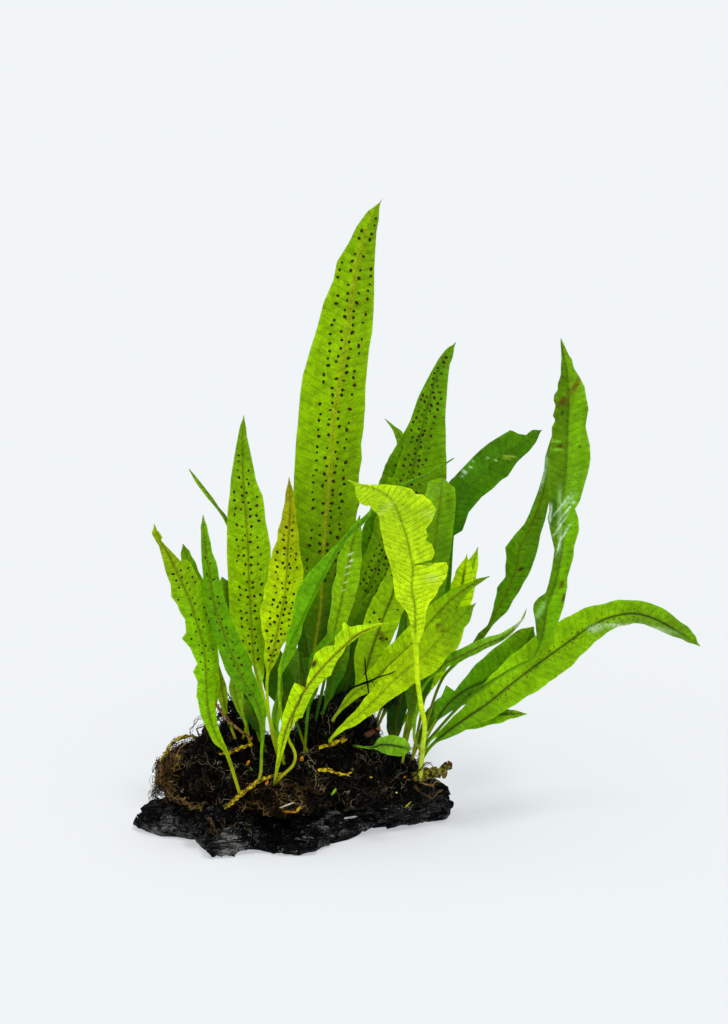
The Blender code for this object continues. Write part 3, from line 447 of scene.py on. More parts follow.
# turn: degrees that the right margin is turned away from the viewer, at foot and tip.
# fold: degrees that each half of the blade leans back from its midrib.
# spine: (across, up, depth, width as it shows) in mm from the foot to the tip.
fronds = {
    "frond_tall": dict(
        turn=(16, 8), fold=7, green=(150, 195, 0), tip=(130, 172, 3), foot=(46, 92, 2), footShare=0.75,
        # the darker right half is a painted shade, where the margin curls away
        rib=(172, 162, 26), ribShade=0.85, ribWidth=0.7, skew=0.04, sides=(1.03, 0.9),
        dots=(70, 266, 3.8, 4, 0.85), dotSize=0.78, dotGap=4.8, veinGap=4.3, veinSlope=0.34, ruffle=0.75,
        ruffleLength=26, rowStep=0.8, columns=9,
        edges=dict(left=[
            (10.5, 90), (5, 119), (1.4, 157.5), (2, 170.5), (2.7, 183.5), (3.2, 194.5), (4.5, 209.5),
            (5.7, 222.2), (6.9, 231.5), (10.1, 242.5), (14.3, 256.5), (17.1, 267.5), (21.8, 278.7),
            (23.6, 288), (29.2, 297.2), (33.2, 305.5), (39.3, 314), (45.8, 319),
        ], right=[
            (34.7, 170.5), (35, 181.5), (36.5, 189), (36, 196.5), (37.3, 205.5), (38, 215), (38, 226),
            (39, 235.2), (39.8, 244.5), (41.5, 253.5), (42.1, 265), (42.2, 274), (42.2, 285), (42.8, 294.5),
            (43.5, 303.5), (44.8, 311), (45.8, 319),
        ]),
        spine=[
            (9, 60, 10, 3), (10.5, 80, 11, 6), (12, 95, 12, 13), (14.5, 112, 12, 22), (15.5, 130, 13, 29),
            (17.2, 160, 14, 32.5), (19.6, 186, 15, 33), (21.4, 209, 16, 32), (24.6, 232, 17, 31),
            (28.8, 257, 18, 27), (31, 274, 19, 22.5), (33.8, 290, 20, 17.5), (38.4, 305, 21, 10.5),
            (42.5, 314, 23, 6.5), (46, 319.5, 24, 1),
        ],
    ),
    "frond_left_middle": dict(
        turn=(-20, -10), fold=9, green=(150, 194, 1), ribShade=0.7, dots=(56, 176, 3.8, 4, 0.85),
        dotSize=0.66,
        edges=dict(left=[
            (-16, 74), (-18.3, 85.1), (-21.2, 91.8), (-25.9, 97.4), (-28.8, 105.1), (-30.7, 110.8),
            (-31.2, 121.2), (-31.5, 130.8), (-31.8, 139), (-32, 152.6), (-31.7, 159.8), (-31, 167),
            (-29.8, 179), (-28.1, 190.2), (-26.1, 200.6), (-24.9, 207), (-23, 211.8),
        ], right=[
            (-13.8, 74), (-12.5, 99), (-11.2, 124), (-10.2, 139), (-10.2, 145.4), (-11.3, 152.6),
            (-12.5, 158.2), (-13.9, 171), (-15.3, 174.2), (-17.3, 179), (-19.5, 191), (-21.6, 200.6),
            (-22.1, 207), (-23, 211.8),
        ]),
        spine=[
            (-3, 37, -14, 1.7), (-6.5, 48, -18, 1.7), (-11.3, 63, -18.5, 1.7), (-14.5, 75, -16, 3),
            (-17.6, 87, -9.5, 7), (-19, 103, -6, 13), (-19.8, 118, -4, 17), (-20.6, 133, -2, 20),
            (-20.9, 146, 0, 22), (-22, 161, 2, 19), (-22.6, 170, 3, 16.7), (-23.3, 180, 4, 13.4),
            (-23.8, 199, 6, 5.6), (-23, 211.5, 8, 0.8),
        ],
    ),
    "frond_speckled": dict(
        turn=(24, 16), fold=8, green=(182, 216, 2), tip=(150, 150, 8), rib=(110, 110, 8),
        dots=(52, 140, 3.2, 4, 0.92), dotSize=0.66, dotGap=3.2,
        spine=[
            (-5, 38, -10, 1.7), (-9, 52, -13, 1.7), (-11.3, 69, -12.5, 1.7), (-11.3, 80, -15.5, 1.9),
            (-8.5, 94, -17, 8), (-6.3, 104, -16, 15), (-4.4, 113, -15, 19), (-2.5, 123, -14, 19),
            (-1.8, 132, -12, 17), (-1.5, 142, -10, 14), (-0.8, 151, -8, 10), (-0.3, 161, -5, 7),
            (0, 170, -3, 4.6), (-0.5, 180.5, 0, 0.8),
        ],
    ),
    "frond_thin_left": dict(turn=(60, 50), fold=8, green=(95, 150, 6), spine=[
        (-19, 62, 14, 1.7), (-22, 95, 17, 1.7), (-23, 124, 18, 1.9), (-26, 146, 20, 2.4),
        (-32, 159.5, 24, 1.8), (-36, 165, 27, 1.2), (-40.5, 171, 29, 2), (-45, 177, 32, 1.8),
        (-50.5, 184.5, 36, 0.6),
    ]),
    "frond_left_outer": dict(
        turn=(14, 6), fold=10, green=(128, 184, 2), stipeRadius=0.42, foot=(186, 188, 8), footShare=0.3,
        tip=(151, 178, 10), dots=(66, 130, 3.8, 4, 0.8), dotSize=0.55,
        edges=dict(left=[
            (-46.7, 69.5), (-46, 78.2), (-48.2, 83), (-46.3, 87.1), (-49.6, 94.8), (-53.8, 99.5),
            (-51.7, 102.5), (-52.2, 109), (-54.7, 112.5), (-56.1, 116.4), (-59, 120.2), (-59.3, 126.1),
            (-62, 133.1), (-64.1, 141.5), (-65.2, 145.5), (-67.3, 148.8), (-69.4, 152.6), (-67.6, 157.6),
        ], right=[
            (-43.2, 119), (-43.7, 126.5), (-49, 136.5), (-53.5, 141), (-53.8, 137.6), (-62.6, 146.8),
            (-64.1, 148.5), (-67.3, 151), (-66.5, 154.5), (-67.6, 157.6),
        ]),
        spine=[
            (-25, 22, -25, 1.9), (-31.5, 42, -29, 2.1), (-37, 51, -29, 5), (-41, 64, -27, 7.6),
            (-42, 78, -24, 9.5), (-42.5, 89, -22, 12), (-44, 98.6, -21, 15), (-46.8, 108, -21, 16),
            (-50, 118, -22, 16), (-54, 127.5, -24, 15), (-58, 136, -27, 11), (-61.5, 143, -30, 6),
            (-65, 149, -33, 3), (-68, 157, -36, 0.8),
        ],
    ),
    "frond_left_blunt": dict(
        turn=(20, 24), fold=8, green=(150, 198, 4), dots=(44, 95, 3.9, 2, 0.7), dotSize=0.5,
        spine=[
            (-36, 48, 6, 1.7), (-38, 62, 4, 3), (-39, 79, 0, 8), (-42, 99, -4, 12), (-46, 119, -7, 11.5),
            (-50, 134, -8, 8), (-52, 141.5, -8, 4.6), (-53.5, 147, -8, 1.6),
        ],
    ),
    "frond_left_sweeping": dict(
        turn=(-16, -30), fold=10, green=(94, 151, 0), tip=(106, 161, 5), dots=(50, 132, 3.8, 2, 0.8),
        dotSize=0.55,
        spine=[
            (-16, 28, -24, 1.7), (-14.6, 33, -28, 1.8), (-14.2, 43.5, -31, 1.9), (-13.7, 55, -33, 3.5),
            (-15.4, 65, -33, 5.2), (-18.5, 72, -33, 7), (-23.5, 79.5, -33, 10.5), (-27.8, 89, -32, 12.5),
            (-31.5, 98.6, -30, 11), (-34.8, 108, -28, 10), (-38, 118, -25, 9.5), (-40, 132, -22, 7.5),
            (-42, 144, -20, 5), (-43, 154, -18, 3), (-43.5, 161.5, -17, 0.8),
        ],
    ),
    "frond_front_small": dict(
        turn=(18, 24), fold=11, green=(184, 226, 0), tip=(179, 222, 12), rib=(110, 90, 12), ribShade=0.9,
        ruffle=1,
        edges=dict(left=[
            (7, 69), (8.5, 79), (10.5, 85), (12.5, 91), (17.5, 95.5), (22.5, 96.5), (22.5, 100.5),
            (26.5, 104), (26.5, 107), (30, 107.2), (30.5, 105), (34.5, 106), (42.5, 107), (48, 108),
        ], right=[
            (6, 59), (9, 66.5), (12.5, 73.5), (14.5, 75.5), (17.5, 79.5), (20.5, 81), (22.5, 85.5),
            (24, 89), (26.5, 92.5), (28, 96), (32.5, 99), (35.5, 101.5), (44.5, 105.5), (48, 107.5),
        ]),
        marks=[
            ((12, 87), 2.4, 1.5, 60, (62, 46, 8)), ((5, 69), 5, 0.5, 72, (60, 40, 8)),
            ((1, 58), 6, 0.4, 75, (60, 40, 8)),
        ],
        spine=[
            (-7.5, 29.5, -24, 1.7), (-5.6, 39, -31, 3.2), (-2.5, 53, -35, 4.8), (1.4, 62.5, -37, 8),
            (6.8, 73, -38, 10.5), (13.7, 82.5, -39, 11.8), (20.6, 90, -40, 11), (28, 97, -39, 9.5),
            (34, 102, -38, 7.5), (42, 105.5, -36, 5), (49, 107.5, -34, 0.8),
        ],
    ),
    "frond_front_pale": dict(
        turn=(4, -24), fold=12, green=(206, 244, 16), tip=(194, 234, 20), foot=(178, 198, 62),
        rib=(118, 142, 14), ribShade=0.75, stipeRadius=1.25, veinGap=2.8, veinSlope=0.28, veinRelief=0.2,
        ruffle=1.1, ruffleLength=17, rowStep=0.5, columns=9,
        edges=dict(left=[
            (61.5, 94), (60.9, 100.1), (60, 106.5), (58.9, 111.6), (56, 115.6), (52.5, 119.6), (50.8, 129),
            (49, 137), (47, 142.6), (45.4, 148.5), (44.5, 158.1), (41.7, 162.5), (35.9, 166.2),
            (33.5, 170.2), (32.5, 175.5), (28.8, 178.8),
        ], right=[
            (65.8, 94), (66.4, 100.6), (67.5, 107.6), (68, 113.3), (69.8, 117.4), (73.3, 120.8),
            (74.4, 124.2), (77.3, 129), (78.4, 133.5), (76.7, 136.9), (67.5, 136.2), (62.8, 136.6),
            (62.8, 137.1), (66.4, 137.1), (71, 138), (72.2, 141.5), (70.4, 145), (67.2, 147.2),
            (68.4, 149.5), (67.8, 153.5), (71, 157), (72.7, 161), (70.4, 166.2), (66.4, 169), (62.9, 169.3),
            (61.2, 172), (54.9, 175.1), (48, 176.5), (44, 176.5), (36.5, 176.8), (28.8, 178.8),
        ]),
        marks=[
            # the first mark is a painted shadow in a slit of the blade
            ((67, 136.7), 5, 0.4, -2, (36, 64, 8)), ((48, 165), 5, 2, 40, (206, 240, 80)),
            ((70, 161.5), 4, 2.2, -10, (206, 240, 80)), ((71, 130), 4, 2.2, 0, (206, 240, 80)),
        ],
        spine=[
            (65.4, 34, -6, 2.6), (66.3, 45, -9, 2.7), (67.3, 56, -15, 2.9), (65.3, 68, -22, 2.4),
            (63.8, 79, -27, 2.4), (63, 95, -33, 4), (62.7, 108, -37, 8.5), (62.5, 116, -39, 12),
            (61, 125, -42, 21), (61.5, 134.6, -45, 27), (60, 143, -49, 25), (58.3, 151, -53, 23.5),
            (56, 157.6, -57, 24.5), (53.5, 164.5, -62, 23.5), (49.5, 170.5, -67, 18), (43, 174.5, -71, 11),
            (35, 177, -75, 6), (29, 179, -78, 1),
        ],
    ),
    "frond_back_tall": dict(
        turn=(-26, -12), fold=8, green=(104, 148, 0), tip=(98, 146, 4), rib=(52, 88, 4),
        dots=(60, 200, 3.1, 4, 0.95), dotSize=0.68, dotGap=3.1,
        edges=dict(left=[
            (51.2, 180.2), (54.8, 190.4), (57, 199.2), (59.2, 206.4), (61.4, 213.7), (63.6, 219.5),
            (67.2, 226.8), (70.1, 232.6), (74.4, 239.8), (78.8, 245.6), (83.2, 247.8),
        ], right=[
            (77.3, 178.8), (77.7, 190.4), (77.3, 199.2), (77.3, 207.8), (77.7, 216.6), (78.2, 223.8),
            (79.1, 231.1), (79.8, 236.9), (82.2, 242.7), (83.2, 247.8),
        ]),
        spine=[
            (23, 66, 20, 1.9), (28, 89, 23, 4), (33.5, 109, 25, 11), (40, 127, 27, 17), (48, 144, 29, 20),
            (55.4, 164, 31, 22.5), (60.8, 182, 33, 23), (64, 195, 35, 21.5), (67, 208, 37, 18),
            (70, 220, 39, 14), (73, 230, 41, 11.5), (77, 240, 44, 7), (83, 248, 47, 1),
        ],
    ),
    "frond_back_broad": dict(
        turn=(14, 18), fold=8, green=(86, 136, 2), rib=(34, 52, 4), dots=(60, 150, 3.9, 4, 0.8),
        dotSize=0.6,
        spine=[
            (19, 62, 32, 1.9), (26, 92, 38, 7), (33, 115, 42, 14), (43, 142, 47, 19), (50, 161, 50, 21),
            (57, 181, 53, 21), (64, 203, 57, 12), (71, 221, 62, 1),
        ],
    ),
    "frond_back_pale": dict(turn=(-20, -20), fold=6, green=(120, 170, 20), spine=[
        (46, 66, 26, 1.7), (56, 95, 36, 4), (64, 130, 47, 8), (70, 165, 56, 10), (73.5, 192, 63, 8.5),
        (75.5, 213, 68, 1),
    ]),
    "frond_back_ragged": dict(turn=(30, 30), fold=6, green=(110, 160, 10), spine=[
        (38, 72, 30, 1.7), (46, 110, 46, 1.9), (54, 150, 62, 6), (58.5, 178, 72, 7.5), (58, 192, 76, 7.5),
        (55, 201, 79, 4.4), (51, 206, 81, 1.6), (47.5, 209.5, 83, 0.7),
    ]),
    "frond_long_arching": dict(
        turn=(20, 70), fold=9, green=(112, 178, 6), tip=(96, 150, 12), foot=(170, 172, 24), footShare=0.4,
        rib=(70, 126, 6), ribShade=0.5,
        edges=dict(left=[
            (-5.5, 85), (-2.8, 94), (-0.2, 104), (2.8, 113), (4.8, 123.8), (10.2, 131.9), (16.3, 139),
            (23.8, 146.7), (30.5, 154.8), (37.3, 160.9),
        ], right=[
            (-3, 83), (3.5, 93), (6, 103), (9.2, 114), (14.3, 124), (18.5, 131.5), (22, 139), (26.5, 146.7),
            (33.2, 153.5), (38.7, 158.7),
        ]),
        spine=[
            (-3, 32, -24, 1.7), (1.5, 36.5, -27, 1.7), (2.6, 42, -28, 1.7), (-0.5, 49, -28, 1.7),
            (-4, 60, -28, 1.7), (-5.5, 74, -28, 1.9), (-3.7, 89, -27, 4), (0.2, 98.6, -26, 8),
            (6.5, 111.5, -25, 11), (12.5, 124, -25, 10), (20, 139, -27, 5.5), (27.5, 150, -29, 3),
            (41.5, 163, -32, 2.4), (55, 175, -29, 2.4), (70, 182.5, -20, 4), (76, 186, -15, 3),
            (82, 190, -10, 0.8),
        ],
    ),
    "frond_bent_tip": dict(turn=(18, 10), fold=7, green=(95, 145, 5), spine=[
        (57, 42, 4, 1.9), (60, 58, 4, 3), (63, 84, 4, 10), (66.5, 109, 5, 15), (70, 129, 6, 17),
        (72.3, 146, 7, 17), (73.6, 157.6, 8, 17), (75, 168, 10, 15.5), (75.8, 176, 14, 13.5),
        (76.2, 180, 20, 9),
    ]),
    "frond_right_upper": dict(
        turn=(-20, 14), fold=7, green=(62, 118, 3), tip=(78, 130, 4), rib=(70, 110, 6),
        edges=dict(left=[
            (81.7, 180), (85.5, 184.2), (90.3, 189), (95.5, 194.2), (99.8, 197.5), (104.2, 200.2),
            (110.7, 204), (114.7, 202), (118.3, 201.5), (120.9, 204.5), (123, 205), (126, 204),
        ], right=[
            (79.5, 119), (80.8, 131.5), (81.5, 145), (82, 151.1), (86.2, 153.5), (87.9, 158.3),
            (89.3, 162.6), (96, 170.5), (101.3, 174.5), (106.1, 179), (109, 180.8), (113.5, 187.5),
            (119.5, 193.2), (122.4, 197), (124.8, 199.5), (126, 204),
        ]),
        marks=[
            ((87.3, 183), 1, 0.9, 0, (222, 236, 206)), ((91.8, 188), 0.6, 0.5, 0, (200, 224, 180)),
            ((90.3, 185.5), 0.6, 0.5, 0, (200, 224, 180)), ((86, 180.8), 0.7, 0.5, 0, (200, 224, 180)),
            ((98.7, 190.1), 0.6, 0.5, 0, (190, 220, 150)), ((103, 188.9), 0.6, 0.5, 0, (190, 220, 150)),
            ((109.9, 190.8), 3.4, 0.5, -5, (206, 228, 84)), ((108.7, 189.6), 2, 0.4, -5, (170, 204, 60)),
        ],
        spine=[
            (62, 44, 12, 1.7), (66, 64, 15, 1.9), (68.5, 82, 17, 7), (71, 99, 18, 12), (74, 124, 20, 16.5),
            (77, 145, 21, 18.5), (81.5, 162, 22, 19), (88.4, 174, 24, 18.5), (96, 182, 26, 19),
            (107, 192, 29, 16.5), (113, 196, 31, 13.5), (118, 198.5, 33, 11), (122.5, 202, 34, 6.8),
            (126, 204, 35, 3.2),
        ],
    ),
    "frond_right_tall": dict(
        turn=(10, -14), fold=12, green=(108, 164, 2), foot=(78, 122, 6), footShare=0.48, rib=(80, 110, 6),
        # the much darker left half is a painted shade on the twisted blade
        skew=-0.1, sides=(0.62, 1.05),
        edges=dict(left=[
            (123.2, 89.7), (123.7, 96), (122.5, 109.2), (121.5, 113.7), (121.7, 117), (124, 120),
            (127.8, 122.6), (129.2, 127), (131, 135.5), (132.2, 144), (130.6, 150.5), (128.5, 160.3),
            (129.5, 164), (129.2, 178), (128.8, 189), (130.7, 198.7), (130.5, 205.2), (132.4, 208.8),
            (131, 210.7), (132.5, 216), (131.5, 218.8), (131.8, 221.5), (133.7, 224.2), (133.5, 227),
            (135.1, 231.2), (135.7, 240), (134.6, 248.5), (135.5, 250),
        ], right=[
            (123.4, 89.7), (128.4, 98), (134.5, 108.7), (136.8, 116), (138.6, 125.5), (138.6, 130),
            (141.7, 140.5), (142, 146), (144.4, 154), (144, 160), (142.4, 164.8), (145.1, 169.5),
            (148.6, 182.5), (149.9, 190), (149.7, 196.5), (148, 203), (147.4, 206), (148.9, 214.5),
            (147.8, 220.5), (147, 225.5), (144.3, 230.7), (141.9, 234.8), (140.8, 239.5), (139.4, 241.2),
            (136.7, 249), (135.5, 250),
        ]),
        marks=[
            ((142.5, 226), 5, 1.5, 62, (112, 92, 18)), ((136.5, 218), 3.6, 1.7, 45, (92, 78, 14)),
            ((136.3, 212.3), 1.3, 0.6, 90, (8, 10, 4)), ((135, 195.5), 1.8, 1.2, 70, (84, 66, 14)),
            ((144.7, 195.7), 0.8, 0.6, 0, (24, 44, 5)), ((145.8, 188.7), 0.8, 0.6, 0, (24, 44, 5)),
            ((136, 127), 2, 1.1, 80, (80, 62, 14)), ((137, 120), 2.6, 1, 75, (92, 72, 16)),
            # the pale and whitish marks along the twist are painted sheen; the brown ones are stains
            ((131.5, 163), 7, 2.2, 85, (40, 92, 10)), ((130.2, 161.5), 6, 0.6, 84, (190, 214, 184)),
            ((135, 159), 16, 1.3, 90, (150, 192, 110)), ((136, 166.5), 8, 0.45, 52, (206, 226, 196)),
            ((138, 163), 8, 0.35, 52, (214, 230, 206)), ((135, 156), 7, 0.4, 56, (206, 226, 196)),
            ((137.5, 152.5), 6, 0.35, 60, (214, 230, 206)), ((134.5, 146.5), 5, 0.4, 75, (206, 226, 196)),
            ((140, 169), 5, 0.8, 50, (150, 196, 110)), ((133.5, 198.5), 3.6, 0.6, 0, (120, 176, 40)),
            ((133.5, 194.2), 3.6, 0.6, 0, (120, 176, 40)), ((125, 113.5), 5, 1.6, 62, (140, 200, 90)),
        ],
        spine=[
            (66.4, 44, -4, 1.9), (69, 48.5, -9.5, 1.9), (72, 52, -13, 1.9), (84.8, 66, -25, 2.1),
            (97, 75.5, -36, 3), (107, 82, -41, 2.1), (115, 86.5, -43, 1.9), (121.5, 89.5, -44, 1.7),
            (125, 96, -44, 3), (127.4, 104, -43.5, 8.6), (129.2, 115, -42, 15), (131.5, 121.5, -41, 13),
            (134, 130, -39.5, 9.2), (136.5, 144, -36, 9.8), (137.2, 157, -32, 15),
            (136.6, 166.5, -28.5, 14.2), (138.3, 176.5, -24, 18), (139.4, 191, -19, 21),
            (139.6, 205, -15, 17.4), (140, 217, -14, 16.5), (139.6, 227, -12, 12.5),
            (138.6, 235, -10.5, 6.4), (137.2, 242, -9, 4), (135.4, 250, -7, 0.8),
        ],
    ),
    "frond_right_behind": dict(
        turn=(-30, -24), fold=9, green=(87, 140, 3),
        edges=dict(left=[
            (88.5, 94.5), (91, 97), (94, 102.5), (99, 106.5), (101.5, 114.5), (103, 125), (107.3, 130.5),
            (107.3, 134), (107.5, 139.5), (106.8, 145), (112.3, 152), (117, 157), (119.7, 162.5),
            (122, 168.5), (124.2, 174.5), (127, 184), (127.5, 191),
        ], right=[
            (92.5, 95.5), (95.8, 98.6), (101.4, 106.6), (107.8, 113), (110, 116.5), (115, 125),
            (118.4, 131), (122, 139.5), (123.7, 146), (124.8, 152), (127.1, 159), (129, 167.5),
            (130, 169.5),
        ]),
        marks=[
            # the pale mark is a painted sheen; the brown one is a stain
            ((127, 183), 9, 1.5, 78, (158, 200, 134)), ((115.5, 134.5), 1.7, 1, 30, (72, 50, 14)),
            ((121.5, 168.5), 7, 0.8, 68, (28, 66, 6)),
        ],
        spine=[
            (66.8, 50, -1.5, 1.7), (69, 60, 4, 1.8), (75.6, 78.5, 4, 2), (84.3, 89, 4, 3),
            (95.3, 100.5, 4, 5), (101.4, 109.5, 4, 8.6), (105.6, 117, 4, 10), (109.4, 125, 4, 12),
            (113, 134, 4, 12), (114.8, 144, 4, 16.5), (119, 152.6, 5, 12.5), (123.5, 163, 6, 9.5),
            (126.8, 173, 7, 5.5), (129, 188, 10, 7), (131.5, 203, 14, 1),
        ],
    ),
    "frond_right_slim": dict(
        turn=(24, 30), fold=9, green=(120, 178, 10), tip=(150, 200, 60),
        marks=[((115, 108), 4, 0.8, 44, (222, 236, 200))],
        spine=[
            (65.8, 43, -2, 1.7), (62, 52, -7, 1.7), (66, 74, -11, 1.7), (76.7, 86.4, -10, 4),
            (82, 89.5, -9, 6), (91, 94, -8, 5.5), (98.5, 97.5, -7, 5), (107, 101, -6, 3.4),
            (115.3, 108.3, -3, 1), (118.3, 114.5, 0, 0.6),
        ],
    ),
    "frond_right_low": dict(
        turn=(30, 22), fold=8, green=(98, 158, 4), rib=(46, 50, 8), ribShade=0.95,
        edges=dict(left=[
            (82.2, 73), (84.6, 76.2), (91, 84.2), (99, 91.4), (107, 97.8), (111.8, 101.5), (116.9, 104.7),
            (121.4, 106.8), (123, 106.5),
        ]),
        marks=[((113.5, 103), 1.6, 0.9, 40, (92, 62, 16)), ((89, 70.5), 3, 1, 48, (60, 44, 10))],
        spine=[
            (66.6, 47, -2, 1.7), (72, 57, -3.5, 2.1), (78.4, 66.5, -6, 9), (87.3, 74, -10, 15.5),
            (97.8, 79, -12, 19), (105.5, 84, -13, 19.5), (112.2, 89.5, -15, 17), (118, 96.5, -16, 10),
            (122, 105.5, -18, 1),
        ],
    ),
    "frond_right_arching": dict(
        turn=(-14, 40), fold=9, green=(136, 187, 2), foot=(98, 156, 4), footShare=0.45, rib=(44, 48, 8),
        ribShade=0.95, dots=(60, 140, 2.6, 2, 0.7), dotSize=0.35,
        marks=[
            # the first mark is a crack; the pale ones are the paler underside along the fold with a painted
            # sheen, and the whitish streaks are painted highlights
            ((142, 99), 4, 0.35, 60, (52, 70, 10)), ((153, 104.8), 4, 1.8, 12, (176, 204, 146)),
            ((175, 104.5), 16, 2.2, -6, (176, 206, 140)), ((170, 106), 12, 0.4, -4, (226, 236, 206)),
            ((178, 103.5), 12, 0.35, -8, (214, 230, 190)), ((173, 102), 12, 0.3, -6, (120, 164, 60)),
        ],
        spine=[
            (65.4, 38.5, -3, 2.1), (71.5, 47, -6, 2.6), (86, 58.5, -21, 9), (98.4, 67, -27, 15),
            (108.9, 75.6, -28, 19), (119.7, 84, -27, 21.5), (130.6, 92, -26, 21.5), (141, 99.6, -24, 19.5),
            (150.3, 106, -22, 16), (160.3, 110.6, -20, 13), (172, 112.4, -18, 11.5),
            (183, 109.5, -16, 10.5), (194, 103.5, -14, 8), (200, 99.5, -13, 5), (205, 96, -12, 1),
        ],
    ),
    "frond_right_lowest": dict(
        turn=(-20, -16), fold=8, green=(150, 208, 6), foot=(120, 180, 8), rib=(60, 70, 10), ribShade=0.9,
        spine=[
            (65.3, 38, -3, 1.7), (69, 47.5, -1.5, 1.7), (74, 52, -2, 3), (82, 56, -6, 6),
            (93, 60.3, -14, 10.5), (104, 61.5, -23, 8), (111, 62, -26, 4), (118.5, 62, -28, 0.8),
        ],
    ),
    "frond_right_short": dict(turn=(20, 20), fold=8, green=(60, 110, 3), spine=[
        (62, 42, 16, 1.7), (66, 52, 21, 4), (71, 61, 26, 7), (75, 67, 29, 5), (79, 72, 31, 1),
    ]),
    "frond_right_light": dict(
        turn=(-18, -10), fold=8, green=(196, 240, 2), tip=(206, 246, 6), rib=(60, 80, 6), ribShade=0.9,
        spine=[
            (56, 47, 16, 2.1), (60, 58, 18, 4.6), (65, 70, 20, 5), (73.5, 86.5, 23, 10), (80, 104, 25, 13),
            (85, 121.5, 27, 12.5), (87, 131.5, 28, 9), (88.5, 142, 30, 1),
        ],
    ),
    "frond_right_hidden": dict(turn=(20, 20), fold=6, green=(170, 220, 6), tip=(180, 230, 8), spine=[
        (52, 50, 26, 1.7), (66, 74, 34, 4), (78, 97, 40, 8), (87, 121, 46, 9), (91, 135, 51, 6),
        (94, 145.5, 55, 0.8),
    ]),
    "frond_middle_upper": dict(turn=(-22, -14), fold=7, green=(157, 198, 2), spine=[
        (22, 60, -6, 1.7), (31, 71, -8, 4.5), (43, 80, -8, 10), (52, 88.5, -7, 15), (61, 97, -7, 15),
        (71, 109, -8, 12), (81, 119.5, -11, 8), (91.5, 127, -15, 3), (100, 131, -20, 0.7),
    ]),
    "frond_middle_lower": dict(
        turn=(-26, -16), fold=8, green=(170, 205, 2), rib=(120, 150, 10),
        marks=[((74.5, 106.5), 1.7, 1, 40, (92, 70, 16)), ((76, 103.5), 1.5, 0.9, 0, (92, 70, 16))],
        spine=[
            (20, 49, -18, 1.9), (26, 55, -20, 3.6), (34, 61, -21, 6), (44, 70.5, -20, 9.5),
            (55, 81.5, -18, 14), (66.5, 90.5, -18, 17), (76, 101, -19, 16), (85, 110, -21, 9),
            (93, 117.5, -24, 1),
        ],
    ),
    "frond_middle_shaded": dict(
        turn=(16, 10), fold=6, green=(153, 196, 1), rib=(50, 60, 5), ribShade=0.9, dots=(30, 80, 5, 4, 0.3),
        marks=[((46, 100.5), 3.2, 1.6, 110, (82, 58, 14))],
        spine=[
            (33, 62, 6, 1.9), (36, 76, 4, 7), (40.5, 93, 2, 15), (46.5, 110, 1, 17), (51.3, 122, 0, 15),
            (55, 136.5, 0, 9), (58.5, 151.5, 0, 1),
        ],
    ),
    "frond_middle_glossy": dict(
        turn=(-26, -20), fold=8, green=(150, 200, 8), foot=(40, 92, 6), footShare=0.62,
        marks=[
            # painted highlights: white glints in a column down the blade
            ((30.2, 142), 1.5, 0.35, 24, (228, 240, 196)), ((30.5, 138.6), 1.5, 0.35, 24, (228, 240, 196)),
            ((29.2, 135.8), 1.5, 0.35, 24, (228, 240, 196)), ((28.5, 132), 1.4, 0.35, 24, (220, 236, 180)),
            ((27.8, 127.8), 1.4, 0.35, 24, (220, 236, 180)),
            ((26.8, 123.8), 1.2, 0.35, 24, (210, 230, 160)),
        ],
        spine=[
            (14, 64, 3, 1.7), (17, 78, 0, 1.9), (20, 92, -2, 5), (23.5, 108, -4, 9), (27, 124, -5, 11.5),
            (29.5, 138, -5, 11.5), (32, 150, -4, 7), (35, 161.5, -3, 0.8),
        ],
    ),
    "frond_left_pale": dict(turn=(16, 16), fold=7, green=(176, 228, 16), foot=(152, 140, 12), spine=[
        (-22, 58, 2, 1.7), (-26, 80, 3, 4), (-28, 99, 4, 8), (-30.5, 115, 6, 9.5), (-32.5, 125, 7, 7.5),
        (-34, 130.5, 8, 3),
    ]),
    # the two shaded fronds fill dark gaps deep in the clump; their darker greens are painted shade
    "frond_shaded_left": dict(turn=(20, 26), fold=6, green=(55, 100, 3), spine=[
        (6, 50, -1, 1.7), (3, 58, -1, 2.1), (-1, 66, 0, 8), (-5, 77, 1, 15), (-9, 88, 2, 14),
        (-13, 97, 2, 8), (-17, 104, 2, 0.8),
    ]),
    "frond_shaded_right": dict(turn=(-24, -24), fold=6, green=(75, 130, 4), spine=[
        (8, 52, -4, 1.7), (9, 64, -8, 2.1), (11, 76, -12, 6), (15, 88, -15, 11), (21, 97, -17, 10),
        (28, 102, -18, 7), (36, 105.5, -18, 1),
    ]),
    "frond_low_sprout": dict(
        turn=(-10, -10), fold=6, green=(110, 162, 30), foot=(40, 52, 10), rib=(14, 28, 6), ribShade=0.95,
        spine=[
            (33, 46, -8, 1.1), (37.5, 45.3, -20, 1.1), (41.5, 45.3, -25, 1.4), (45.5, 46.5, -28, 7.5),
            (50, 46.5, -31, 9.5), (55.5, 45.5, -33, 9), (60.5, 44.5, -34, 4),
        ],
    ),
    "frond_sprout_left": dict(turn=(20, 20), fold=8, green=(140, 170, 15), foot=(150, 130, 20), spine=[
        (-29, 54, 4, 1.7), (-32, 62, 7, 3.2), (-34, 74, 9, 5), (-36, 88, 10, 0.8),
    ]),
    "frond_sprout_middle": dict(turn=(-24, -24), fold=8, green=(130, 170, 15), spine=[
        (-22, 56, -4, 1.7), (-25, 64, -5, 3.4), (-27.5, 74, -5, 6), (-28.5, 85, -5, 0.8),
    ]),
    "frond_sprout_right": dict(turn=(20, 28), fold=8, green=(90, 150, 10), spine=[
        (-16, 52, 6, 1.7), (-18.5, 60, 8, 3.4), (-22, 68, 9, 7), (-24, 75, 10, 5), (-26, 81, 11, 0.8),
    ]),
